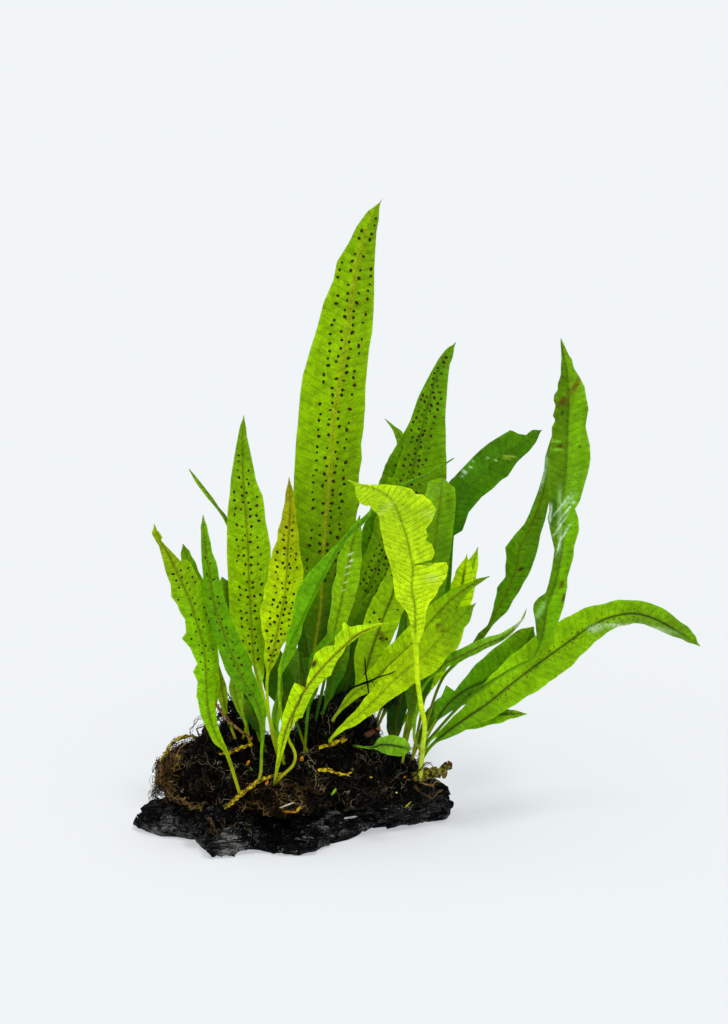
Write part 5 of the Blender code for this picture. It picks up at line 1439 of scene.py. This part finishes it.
def matMaterial():
    # deep between the strands: more of them, drawn as the winding level lines of noise
    made, tree, shader = startMaterial("root felt", 0.03, IOR=1.4)
    inRoom = inRoomOf(tree)
    tone = 0.0
    for scale, thin, strength, shift in rootMat["drawn"]:
        spot = calcVector(tree, "ADD", inRoom, (shift, shift, shift))
        away = calc(tree, "ABSOLUTE", calc(tree, "SUBTRACT", grainOf(tree, spot, scale, 1, 0.4, 0.7), 0.5))
        line = ranged(tree, away, 0.0, thin, strength, 0.0, smooth=True)
        line = times(tree, line, ranged(tree, grainOf(tree, spot, 130, 2), 0.4, 0.62))
        tone = calc(tree, "MAXIMUM", tone, line)
    wire(tree, rootColour(tree, tone, markOf(tree, "warmth")), shader, "Base Color")
    wire(tree, ranged(tree, grainOf(tree, inRoom, 300, 2), 0.35, 0.65, 0.25, 0.7), shader, "Roughness")
    height = calc(tree, "ADD", tone, times(tree, grainOf(tree, inRoom, 500, 3), 0.8))
    addBump(tree, shader, height, 0.6 * mm, 0.9)
    return made


def strewnLines(tree, given, chance):
    # straight lines that lie on the surface at any angle
    inputs = {0: given["Geometry"], 4: given["Density"], 6: given["Seed"]}
    spots = addNode(tree, "GeometryNodeDistributePointsOnFaces", inputs).outputs
    ends = {"Start": (-0.5, 0, 0), "End": (0.5, 0, 0)}
    line = outOf(tree, "GeometryNodeCurvePrimitiveLine", ends)
    line = outOf(tree, "GeometryNodeResampleCurve", {0: line, 2: given["Points"]})
    pose = standing(tree, spots[1], chance(0.0, 2 * math.pi, 1))
    scale = combined(tree, chance(given["Shortest"], given["Longest"], 2), 1.0, 1.0)
    inputs = {0: spots[0], 2: line, 5: pose, 6: scale}
    laid = outOf(tree, "GeometryNodeInstanceOnPoints", inputs)
    return outOf(tree, "GeometryNodeRealizeInstances", {0: laid})


def guidedLines(tree, given):
    # copies of the guides
    lines = outOf(tree, "GeometryNodeMeshToCurve", {0: given["Geometry"]})
    inputs = {0: lines, 2: given["Copies"]}
    copies = outOf(tree, "GeometryNodeDuplicateElements", inputs, domain="SPLINE")
    return outOf(tree, "GeometryNodeResampleCurve", {0: copies, 2: given["Points"]})


def nearestOf(tree, given, value, place, kind):
    inputs = {0: given["Geometry"], 1: value, 3: place}
    return outOf(tree, "GeometryNodeSampleNearestSurface", inputs, data_type=kind)


def strandTree(name, material, guided):
    # strands as noisy curves: strewn over the surface that is given, or spread about given guides
    tree, given = startTree(name, strandGiven)
    chance = chancesOf(tree, given["Seed"])
    strands = guidedLines(tree, given) if guided else strewnLines(tree, given, chance)
    which = outOf(tree, "GeometryNodeCurveOfPoint")
    factor = outOf(tree, "GeometryNodeSplineParameter")
    place = placeOf(tree)
    own = chance(0.0, 10.0, 3, which)
    spot = calcVector(tree, "ADD", place, combined(tree, own, own, own))
    swing = grainOf(tree, spot, given["Grain"], output="Color")
    swing = calcVector(tree, "SUBTRACT", swing, (0.5, 0.5, 0.5))
    bow = calc(tree, "SINE", times(tree, factor, math.pi))
    tapered = calc(tree, "MULTIPLY_ADD", bow, 1 - strandEnds, strandEnds)
    # the noise itself swings by about a quarter
    reach = times(tree, given["Wander"], 4.0)
    if guided:
        reach = times(tree, reach, tapered)
    turns = times(tree, given["Turns"], chance(*strandVaries["turns"], 8, which))
    phase = times(tree, factor, turns)
    phase = calc(tree, "ADD", phase, own)
    late = calc(tree, "SINE", calc(tree, "ADD", phase, own))
    ring = combined(tree, calc(tree, "COSINE", phase), calc(tree, "SINE", phase), late)
    curl = times(tree, given["Curl"], chance(*strandVaries["curl"], 9, which))
    shift = calcVector(tree, "ADD", scaled(tree, swing, reach), scaled(tree, ring, curl))
    moved = outOf(tree, "GeometryNodeSetPosition", {0: strands, 3: shift})
    warmth = given["Warmth"]
    if not guided:
        inputs = {0: given["Geometry"], 2: place}
        onto = outOf(tree, "GeometryNodeProximity", inputs, target_element="FACES")
        out = nearestOf(tree, given, normalOf(tree), place, "FLOAT_VECTOR")
        lift = calc(tree, "ADD", chance(given["Lowest"], given["Highest"], 4, which), given["Sink"])
        height = calc(tree, "SUBTRACT", times(tree, bow, lift), given["Sink"])
        above = calcVector(tree, "ADD", onto, scaled(tree, out, height))
        moved = outOf(tree, "GeometryNodeSetPosition", {0: moved, 2: above})
        warmth = nearestOf(tree, given, named(tree, "warmth"), place, "FLOAT")
        warmth = times(tree, warmth, chance(*strandVaries["warmth"], 7, which))
    moved = stored(tree, moved, "shade", chance(given["Darkest"], given["Lightest"], 5, which))
    moved = stored(tree, moved, "warmth", warmth)
    ring = outOf(tree, "GeometryNodeCurvePrimitiveCircle", {0: given["Sides"], 4: 1.0})
    girth = times(tree, chance(*strandVaries["girth"], 6, which), given["Radius"])
    girth = times(tree, girth, tapered)
    inputs = {0: moved, 1: ring, 2: girth, 3: True}
    endTree(tree, outOf(tree, "GeometryNodeCurveToMesh", inputs), material)
    return tree


def addStrands(name, carrier, tree, values, seed):
    lengths = {label: values[label] * mm for label in strandLengths if label in values}
    strands = grown(name, carrier, tree, {**values, **lengths, "Seed": seed})
    finishPiece(strands, rootSkin)
    print(name, len(strands.data.polygons), "faces")


def lumpHeight(spot):
    rough = sum(deep * noise.noise(spot / (grain * mm)) for deep, grain in rootMat["lumps"])
    return (rootMat["inset"] + rough) * mm


rootSkin = rootMaterial()
rootBody = remeshed("root_body", cadCopy(["root_mat"]), rootMat["voxel"] * mm)
pushed(rootBody, lumpHeight)
markSpots(rootBody.data, "warmth", rootMat["spots"], 0)
strewnStrands = strandTree("strewn strands", rootSkin, False)
for seed, (name, layer) in enumerate(matLayers.items()):
    layer = dict(zip(layerLabels, layer))
    addStrands(name, rootBody.data.copy(), strewnStrands, layer, 100 + seed * 20)
finishPiece(rootBody, matMaterial(), ["root_mat"])
print("root mat:", len(rootBody.data.polygons), "faces in its body")

# Strands that can be told apart, as routes over the sheet: (across, up) in mm, laid on what is
# behind them, or (across, up, depth) where they hang free.
# Each bundle: copies, radius and spread in mm, grain, curl in mm, shades, warmth, then its routes.
# bundleShape: what they share; bundleClear: mm between a laid route and what it lies on.
bundleShape = {"Points": 40, "Sides": 4, "Turns": 3.0}
bundleClear = 0.5
rootBundles = {
    "hanging_roots": (13, 0.15, 3.8, 280, 2.0, (0.3, 0.95), 0.65, [
        [
            (-59, 43, -4), (-62, 39, -6), (-64.8, 33, -8), (-65.8, 29, -9), (-66.9, 24.7, -9),
            (-68.3, 20.5, -8), (-68.6, 17, -7),
        ],
        [
            (-57, 42, -5), (-59.5, 39.4, -8), (-61.6, 33.8, -10), (-63.7, 29.6, -11), (-65.8, 24, -10),
            (-67.2, 19.8, -9),
        ],
        [(-54, 44, -6), (-57, 38, -10), (-60, 32, -12), (-61, 26, -12), (-62, 20, -11)],
        [(-62, 24, -9), (-56, 20, -12), (-50, 17, -13), (-44, 15, -14)],
    ]),
    "looping_roots": (3, 0.19, 1.2, 120, 0.4, (0.6, 0.9), 0.85, [
        [
            (-50, 46, -2), (-49.5, 52.3, -3), (-47.1, 59.2, -3), (-43.7, 61.5, -2), (-41, 59, 0),
            (-39.5, 53, 2),
        ],
        [(-54, 45, -3), (-52, 50, -4), (-48.5, 52, -4), (-46.5, 49, -3), (-47.5, 45, -2)],
        [(-45, 49, -2), (-46.5, 55, -3), (-42, 57, -2), (-40, 52, 0)],
        [(62, 30, -6), (69.5, 26.8, -6), (71.5, 26, -5), (74, 28.3, -5), (75.8, 28, -5)],
        [(60, 30, -7), (66, 36, -8), (69, 38, -7), (71.5, 36, -6)],
        [(62, 26, -8), (67, 22, -9), (71, 20, -8), (76, 24, -6)],
    ]),
    "long_roots": (2, 0.2, 0.8, 90, 0.3, (0.3, 0.9), 0.2, [
        [(6, 28.6), (10.2, 28.9), (15, 29.5), (19.8, 30.4), (23.4, 31)],
        [(17.4, 25.6), (19.8, 27.4), (22.2, 29.8), (24.6, 31)],
        [(9, 19), (12.6, 19), (16.2, 19.6), (18.6, 21.4), (19.2, 23.8)],
        [(27, 31.6), (29.4, 29.8), (31.8, 27.4), (35.4, 25.6), (39, 23.2), (43.8, 21.4)],
        [(27, 14.2), (31.8, 14.5), (36.6, 15.4), (40.2, 17.2), (44.4, 19)],
        [(-7.8, 25), (-4.2, 21.4), (-0.6, 20.2), (2.4, 19.6)],
        [(42.2, 32.2), (45.2, 28.6), (48.2, 26.2), (51.2, 25)],
        [
            (-21.7, 21.2), (-24.5, 17), (-25.5, 12.8), (-24.5, 8.6), (-22.4, 5.1), (-21.7, 0.9),
            (-23.1, -3.3),
        ],
        [(-40, 52), (-43, 44), (-41, 38), (-44, 30), (-42, 22)],
        [(-20, 45), (-8, 44), (6, 43), (18, 42)],
    ]),
    "dark_roots": (2, 0.3, 0.4, 90, 0.1, (0.05, 0.25), 0.1, [
        [(37.5, 90, -14), (37.6, 84, -14), (38.5, 78, -13), (39.5, 70, -10)],
        [
            (24, 68, -12), (28, 72.5, -14), (32, 75.5, -15), (38, 77.6, -16), (45, 80.5, -17),
            (53, 83.5, -17),
        ],
        [(40, 80, -16), (43, 74, -16), (41, 69, -15)],
    ]),
    "trailing_roots": (6, 0.15, 3.0, 220, 1.2, (0.2, 0.95), 0.3, [
        [(-42, 14), (-40, 9), (-38, 4), (-37, 0)],
        [(-47, 12), (-44, 7), (-40, 3)],
        [(-34, 12), (-34, 6), (-32, 1)],
        [(-28, 10), (-27, 4), (-29, -1)],
        [(-22, 12), (-20, 7), (-21, 2)],
    ]),
    "crown_roots": (26, 0.2, 4.5, 170, 1.6, (0.0, 0.55), 0.2, [
        [(-38, 58, 8), (-32, 66, 12), (-24, 69, 14), (-14, 66, 12)],
        [(-36, 52, 4), (-30, 60, 8), (-22, 64, 10), (-12, 62, 10)],
        [(-30, 56, 14), (-26, 70, 16), (-18, 72, 18)],
        [(24, 70, 6), (34, 74, 8), (44, 74, 10), (54, 68, 12)],
        [(30, 66, -2), (40, 70, 0), (50, 66, 2)],
    ]),
    "brown_roots": (7, 0.14, 3.8, 280, 1.9, (0.1, 0.95), 0.6, [
        [(-18, 26), (-12, 22), (-6, 18), (0, 15), (6, 13)],
        [(-14, 29), (-8, 23), (-4, 17), (-2, 11)],
        [(-20, 20), (-14, 16), (-8, 13), (-3, 12)],
        [(-6, 28), (2, 26), (10, 25), (16, 22)],
        [(4, 24), (8, 18), (10, 13)],
    ]),
}


def laidOn(surfaces, across, up, clear):
    # the first surface behind that spot of the sheet, as far in front of it as asked
    line = sightLine(across, up)
    near = firstHit(surfaces, eye, line)
    return placed(across, up, 0) if near is None else near[0] - line * clear * mm


def guideMesh(name, routes):
    spots = []
    edges = []
    for route in routes:
        edges += [(len(spots) + k, len(spots) + k + 1) for k in range(len(route) - 1)]
        for spot in route:
            spots.append(placed(*spot) if len(spot) == 3 else laidOn(holders, *spot, bundleClear))
    mesh = bpy.data.meshes.new(name)
    mesh.from_pydata(spots, edges, [])
    return mesh


holders = surfacesOf("root_mat", "driftwood")
guidedStrands = strandTree("guided strands", rootSkin, True)
for seed, (name, bundle) in enumerate(rootBundles.items()):
    copies, radius, spread, grain, curl, (darkest, lightest), warmth, routes = bundle
    addStrands(name, guideMesh(name, routes), guidedStrands, {
        **bundleShape, "Copies": copies, "Radius": radius, "Wander": spread, "Grain": grain,
        "Curl": curl, "Darkest": darkest, "Lightest": lightest, "Warmth": warmth,
    }, 300 + seed * 20)


# The driftwood: one dense form grown from its four CAD limbs, broken into tilted facets.
# relief: (depth, grain) in mm of noise drawn out along the limbs; facets: (size, tilt) of planes.
# crack: mm between cracks, their width as a share of that, and depth in mm.
# hollows: (x, y, z), reach and depth in mm; floorFade: mm over which all this fades in.
# the wear marks: where the black skin is worn to grey, in part a painted sheen on lit facets, as (across,
# up, reach) in mm and strength; those below 0 are painted shade, in the hollow at the front and under the
# mat.
woodShape = {
    "voxel": 0.7,
    "swell": 0.3,
    "stretch": 2.2,
    "relief": ((1.2, 8.0), (0.6, 2.6), (0.35, 1.1)),
    "facets": ((17.0, 0.62), (7.0, 0.5)),
    "crack": (9.0, 0.07, 1.4),
    "hollows": (
        ((-12, -19, 9), 8, 4.0), ((24, -8, 16), 8, 2.0), ((-76, 12, 13), 9, 4.2),
        ((82, 33, 18), 9, 3.2), ((73, 28, 22), 10, 3.6),
    ),
    "floorFade": (0.4, 2.4),
    "wearSheenAndShade": [
        ((-32, -3, 6), 0.95), ((-26, -5, 5), 0.9), ((-70, 4, 5), 0.65), ((-62, 2, 5), 0.6),
        ((-54, 1, 4), 0.5), ((24, 14, 5), 0.5), ((60, 12, 7), 0.15), ((72, 16, 7), 0.1),
        # painted shade: darker in the hollow at the front and under the mat
        ((-11, 5, 11), -0.8), ((30, 19, 9), -0.6),
    ],
}

# The bark's look: scales of its noises, the tones it goes through, and its light flecks, which are grit and
# painted glints of wet spots.
woodLook = {
    "grain": 420,
    "patch": 90,
    "streak": 1000,
    "wetGlintGrit": 1400,
    "wetGlintGritPatch": 170,
    "gloss": 230,
    "chip": 700,
    "tones": [(0.42, (0, 0, 0)), (0.55, (11, 11, 12)), (0.68, (50, 51, 51)), (0.85, (128, 127, 120))],
    "fleck": (200, 204, 202),
}


def drawnOut(tree, vector, share):
    return outOf(tree, "ShaderNodeMapping", {"Vector": vector, "Scale": (share, 1, 1)})


def woodMaterial():
    made, tree, shader = startMaterial("wet driftwood", 0.06, IOR=1.45)
    inRoom = inRoomOf(tree)
    along = drawnOut(tree, inRoom, 0.3)
    grain = grainOf(tree, along, woodLook["grain"], 5, 0.7, 0.8)
    # grey where worn, in part a painted sheen, and darker as painted shade where the wear marks fall below
    # 0
    wearSheenShadeTone = calc(tree, "MULTIPLY_ADD", markOf(tree, "wearSheenAndShade"), 0.3, -0.35)
    patch = calc(tree, "MULTIPLY_ADD", grainOf(tree, inRoom, woodLook["patch"], 3), 0.7, wearSheenShadeTone)
    streak = grainOf(tree, drawnOut(tree, inRoom, 0.09), woodLook["streak"], 4, 0.7, 1.2)
    streak = ranged(tree, streak, 0.52, 0.62, -0.07, 0.2)
    tone = calc(tree, "ADD", calc(tree, "ADD", grain, patch), streak)
    colour = rampOf(tree, tone, [(place, paint(*shade)) for place, shade in woodLook["tones"]])
    # light flecks: grit, and painted glints of wet spots
    wetGlintGrit = ranged(tree, grainOf(tree, inRoom, woodLook["wetGlintGrit"], 1, 0.5, 1.5), 0.63, 0.68)
    where = ranged(tree, grainOf(tree, inRoom, woodLook["wetGlintGritPatch"], 3, 0.7), 0.55, 0.68)
    colour = mixed(tree, times(tree, wetGlintGrit, where), colour, paint(*woodLook["fleck"]))
    wire(tree, colour, shader, "Base Color")
    gloss = ranged(tree, grainOf(tree, inRoom, woodLook["gloss"], 3), 0.42, 0.58, 0.1, 0.5)
    wire(tree, gloss, shader, "Roughness")
    chips = addNode(tree, "ShaderNodeTexVoronoi", {"Vector": along, "Scale": woodLook["chip"]})
    fine = calc(tree, "MULTIPLY_ADD", chips.outputs["Distance"], 0.7, times(tree, grain, 2.0))
    addBump(tree, shader, fine, 0.8 * mm)
    return made


def barkHeight(spot):
    long = Vector((spot.x / woodShape["stretch"], spot.y, spot.z))
    height = sum(deep * noise.noise(long / (grain * mm)) for deep, grain in woodShape["relief"])
    for size, tilt in woodShape["facets"]:
        near = noise.voronoi(long / (size * mm))[1][0]
        lean = noise.cell_vector(near * 7) - Vector((0.5, 0.5, 0.5))
        height += lean.dot(long / (size * mm) - near) * size * tilt
    size, width, deep = woodShape["crack"]
    away = noise.voronoi(long / (size * mm))[0]
    height -= max(0, 1 - (away[1] - away[0]) / width) * deep
    for centre, reach, deep in woodShape["hollows"]:
        height -= deep * math.exp(-(((spot / mm - Vector(centre)).length / reach) ** 2))
    low, high = woodShape["floorFade"]
    return height * mm * min(1, max(0, (spot.z / mm - low) / (high - low)))


woodNodes = [name for name in cadNodes if name.startswith("driftwood")]
wood = remeshed("driftwood", cadCopy(woodNodes, woodShape["swell"] * mm), woodShape["voxel"] * mm)
pushed(wood, barkHeight)
markSpots(wood.data, "wearSheenAndShade", woodShape["wearSheenAndShade"], -1)
finishPiece(wood, woodMaterial(), woodNodes)
print("driftwood:", len(wood.data.polygons), "faces")


# Rhizomes: knobbly stems ringed with scars, with roots grown across them.
# swell, oldSwell: mm that the fresh stems and the old one are made thicker by.
# rings, knobs: (depth, grain) in mm; wrap: the roots grown across them, by layerLabels.
rhizomeShape = {
    "voxel": 0.3,
    "swell": 0.1,
    "oldSwell": 0.85,
    "rings": (0.1, 1.1),
    "knobs": (0.95, 2.2),
    "wrap": (70000, 4, 11, 0.14, -0.4, 0.9, 18, 1.8, 260, 0.9, 1.6, 0.1, 0.8),
}


def rhizomeMaterial(name, dark, light):
    made, tree, shader = startMaterial(name, 0.15, Roughness=0.35)
    grain = grainOf(tree, inRoomOf(tree), 650, 4, 0.65)
    tones = [(0.36, (0.004, 0.003, 0.001, 1)), (0.46, paint(*dark)), (0.62, paint(*light))]
    wire(tree, rampOf(tree, grain, tones), shader, "Base Color")
    addBump(tree, shader, grain, 0.5 * mm)
    return made


def knobHeight(spot):
    deep, grain = rhizomeShape["knobs"]
    fine, ring = rhizomeShape["rings"]
    swing = (noise.noise(spot / (grain * mm)) - 0.3) * deep
    return (swing + fine * math.sin(2 * math.pi * (spot.x + spot.z) / (ring * mm))) * mm


rhizomeSkin = rhizomeMaterial("rhizome", (124, 98, 4), (228, 204, 16))
oldRhizomeSkin = rhizomeMaterial("old rhizome", (66, 58, 10), (150, 140, 28))
rhizomeNames = [name for name in cadNodes if name.startswith("rhizome")]
for name in rhizomeNames:
    old = name == "rhizome_right"
    form = cadCopy([name], rhizomeShape["oldSwell" if old else "swell"] * mm)
    piece = remeshed(name.replace("rhizome", "stem"), form, rhizomeShape["voxel"] * mm)
    pushed(piece, knobHeight)
    finishPiece(piece, oldRhizomeSkin if old else rhizomeSkin, [name])
wrapCarrier = meshFrom(cadCopy(rhizomeNames), "wrap")
markSpots(wrapCarrier, "warmth", rootMat["spots"], 0)
wrap = {**dict(zip(layerLabels, rhizomeShape["wrap"])), "Sink": 0.0}
addStrands("wrapping_roots", wrapCarrier, strewnStrands, wrap, 500)
stipeSkin = rhizomeMaterial("old stipe", (92, 64, 24), (168, 128, 62))
oldStipe = remeshed("bare_stalk", cadCopy(["old_stipe"]), 0.4 * mm)
finishPiece(oldStipe, stipeSkin, ["old_stipe"])
print("rhizomes and the old stipe made")

# Small things caught in the roots, and one painted glint, each a flattened chip that faces the viewer:
# (across, up) on the sheet, mm long and wide, slope in degrees and colour.
# lift, thick: mm in front of the mat, and of half a chip; ragged, raggedness: how rough, how finely.
bitShape = {"lift": 1.6, "thick": 0.5, "ragged": 0.45, "raggedness": 0.8}
caughtBits = [
    ((-21, 37.5), 3.4, 1.5, 60, (214, 140, 20)), ((-11.5, 27.5), 3, 1.6, 70, (200, 116, 18)),
    ((6, 39.5), 2.6, 1.7, 80, (226, 146, 26)), ((44, 54.7), 2, 1.4, 20, (214, 116, 28)),
    ((-32.2, 16.5), 3, 1.1, 30, (120, 160, 30)), ((-19.3, 34.5), 2.6, 0.6, -60, (90, 150, 30)),
    ((21.9, 23), 4, 1.2, 50, (130, 180, 10)), ((-1.5, 16.5), 8.5, 0.7, 20, (214, 206, 190)),
    ((-0.5, 13.3), 7.5, 1.4, -4, (186, 136, 20)), ((4.3, 14.6), 3.6, 1.7, 50, (206, 160, 20)),
    ((29.5, 10.2), 9, 1, 9, (186, 186, 176)), ((21, 12.7), 8, 2, -3, (72, 72, 70)),
    ((55, 13.2), 3, 1.5, 80, (204, 180, 24)), ((59, 16.7), 4, 0.8, 45, (196, 196, 20)),
    ((40, 52.4), 6, 3.2, 20, (104, 62, 42)), ((31, 67.7), 6.5, 3.6, 5, (104, 122, 10)),
    ((64.9, 29.9), 3.4, 1.9, 0, (104, 62, 42)), ((57.5, 30.5), 1.6, 1, 20, (176, 104, 20)),
    ((-42, 54), 5, 4, 30, (44, 28, 16)), ((27, 48.5), 4, 1, 35, (190, 160, 10)),
    # the pale dot at (53.3, 22.7) is a painted glint
    ((40.5, 30.4), 1.2, 0.9, 0, (220, 190, 60)), ((53.3, 22.7), 1.1, 0.9, 0, (230, 220, 140)),
    ((30.2, 32.6), 1.8, 0.9, 10, (200, 160, 10)), ((77.4, 31.8), 4.8, 2.4, 75, (112, 108, 18)),
    ((80, 37), 3.4, 2.2, -60, (104, 74, 30)), ((72, 34.5), 4, 2.8, 10, (128, 120, 20)),
]


def caughtMaterial():
    made, tree, shader = startMaterial("caught bits", 0.12, Roughness=0.42)
    grain = grainOf(tree, inRoomOf(tree), 900, 3)
    shade = ranged(tree, grain, 0.3, 0.7, 0.45, 1.25)
    wire(tree, scaled(tree, markOf(tree, "tint", "Color"), shade), shader, "Base Color")
    addBump(tree, shader, grain, 0.3 * mm)
    return made


def addChip(bm, tint, spot, long, wide, slope, colour):
    slant = math.radians(slope)
    ahead = sheetRight * math.cos(slant) + sheetUp * math.sin(slant)
    aside = sheetUp * math.cos(slant) - sheetRight * math.sin(slant)
    centre = laidOn(holders, *spot, bitShape["lift"])
    axes = [ahead * long / 2, aside * wide / 2, -sheetForward * bitShape["thick"]]
    spread = Matrix(axes).transposed() * mm
    for vert in bmesh.ops.create_icosphere(bm, subdivisions=2, radius=1.0)["verts"]:
        rough = noise.noise(vert.co / bitShape["raggedness"] + Vector((*spot, 0)))
        vert.co = centre + spread @ (vert.co * (1 + bitShape["ragged"] * rough))
        vert[tint] = paint(*colour)


def addBits():
    bm = bmesh.new()
    tint = bm.verts.layers.float_color.new("tint")
    for bit in caughtBits:
        addChip(bm, tint, *bit)
    return addPiece("caught_bits", meshFrom(bm, "bits"))


finishPiece(addBits(), caughtMaterial())
print("bits:", len(caughtBits))

# Floor and light: a wide pale floor that fills the picture, sky light and two soft suns.
# suns: (degrees from the viewer's side towards the right, degrees up), strength, degrees of spread.
# glow: share of the floor's colour that it gives out itself; reach: its corners in metres.
stageLight = {
    "sky": 0.3,
    "suns": [((18, 58), 1.3, 12), ((-25, 62), 1.5, 100)],
    "floor": (241, 245, 248),
    "glow": 0.5,
    "reach": ((-40, -10), (40, 70)),
}


def addSun(number, azimuth, height, strength, spread):
    light = bpy.data.lights.new(f"sun_{number}", "SUN")
    light.energy = strength
    light.angle = math.radians(spread)
    sun = bpy.data.objects.new(light.name, light)
    bpy.context.scene.collection.objects.link(sun)
    turn = math.radians(azimuth)
    rise = math.radians(height)
    towards = Vector((math.sin(turn) * math.cos(rise), -math.cos(turn) * math.cos(rise), math.sin(rise)))
    sun.matrix_world = towards.to_track_quat("Z", "Y").to_matrix().to_4x4()
    return strength * math.sin(rise) / math.pi


def addFloor(brightness):
    (left, near), (right, far) = stageLight["reach"]
    corners = [(left, near, 0), (right, near, 0), (right, far, 0), (left, far, 0)]
    mesh = bpy.data.meshes.new("floor")
    mesh.from_pydata(corners, [], [(0, 1, 2, 3)])
    floor = addPiece("floor", mesh)
    made, _, shader = startMaterial("floor", 0, Roughness=1.0)
    target = paint(*stageLight["floor"])
    lit = [(1 - stageLight["glow"]) * v / brightness for v in target[:3]]
    shader.inputs["Base Color"].default_value = (*lit, 1)
    shader.inputs["Emission Color"].default_value = target
    shader.inputs["Emission Strength"].default_value = stageLight["glow"]
    mesh.materials.append(made)


def setSky():
    scene = bpy.context.scene
    scene.view_settings.view_transform = "Standard"
    scene.world = bpy.data.worlds.new("sky")
    scene.world.use_nodes = True
    sky = scene.world.node_tree.nodes["Background"]
    sky.inputs["Color"].default_value = (1, 1, 1, 1)
    sky.inputs["Strength"].default_value = stageLight["sky"]


setSky()
sunlight = 0
for number, ((azimuth, height), strength, spread) in enumerate(stageLight["suns"]):
    sunlight += addSun(number, azimuth, height, strength, spread)
addFloor(stageLight["sky"] + sunlight)

print("stage set")
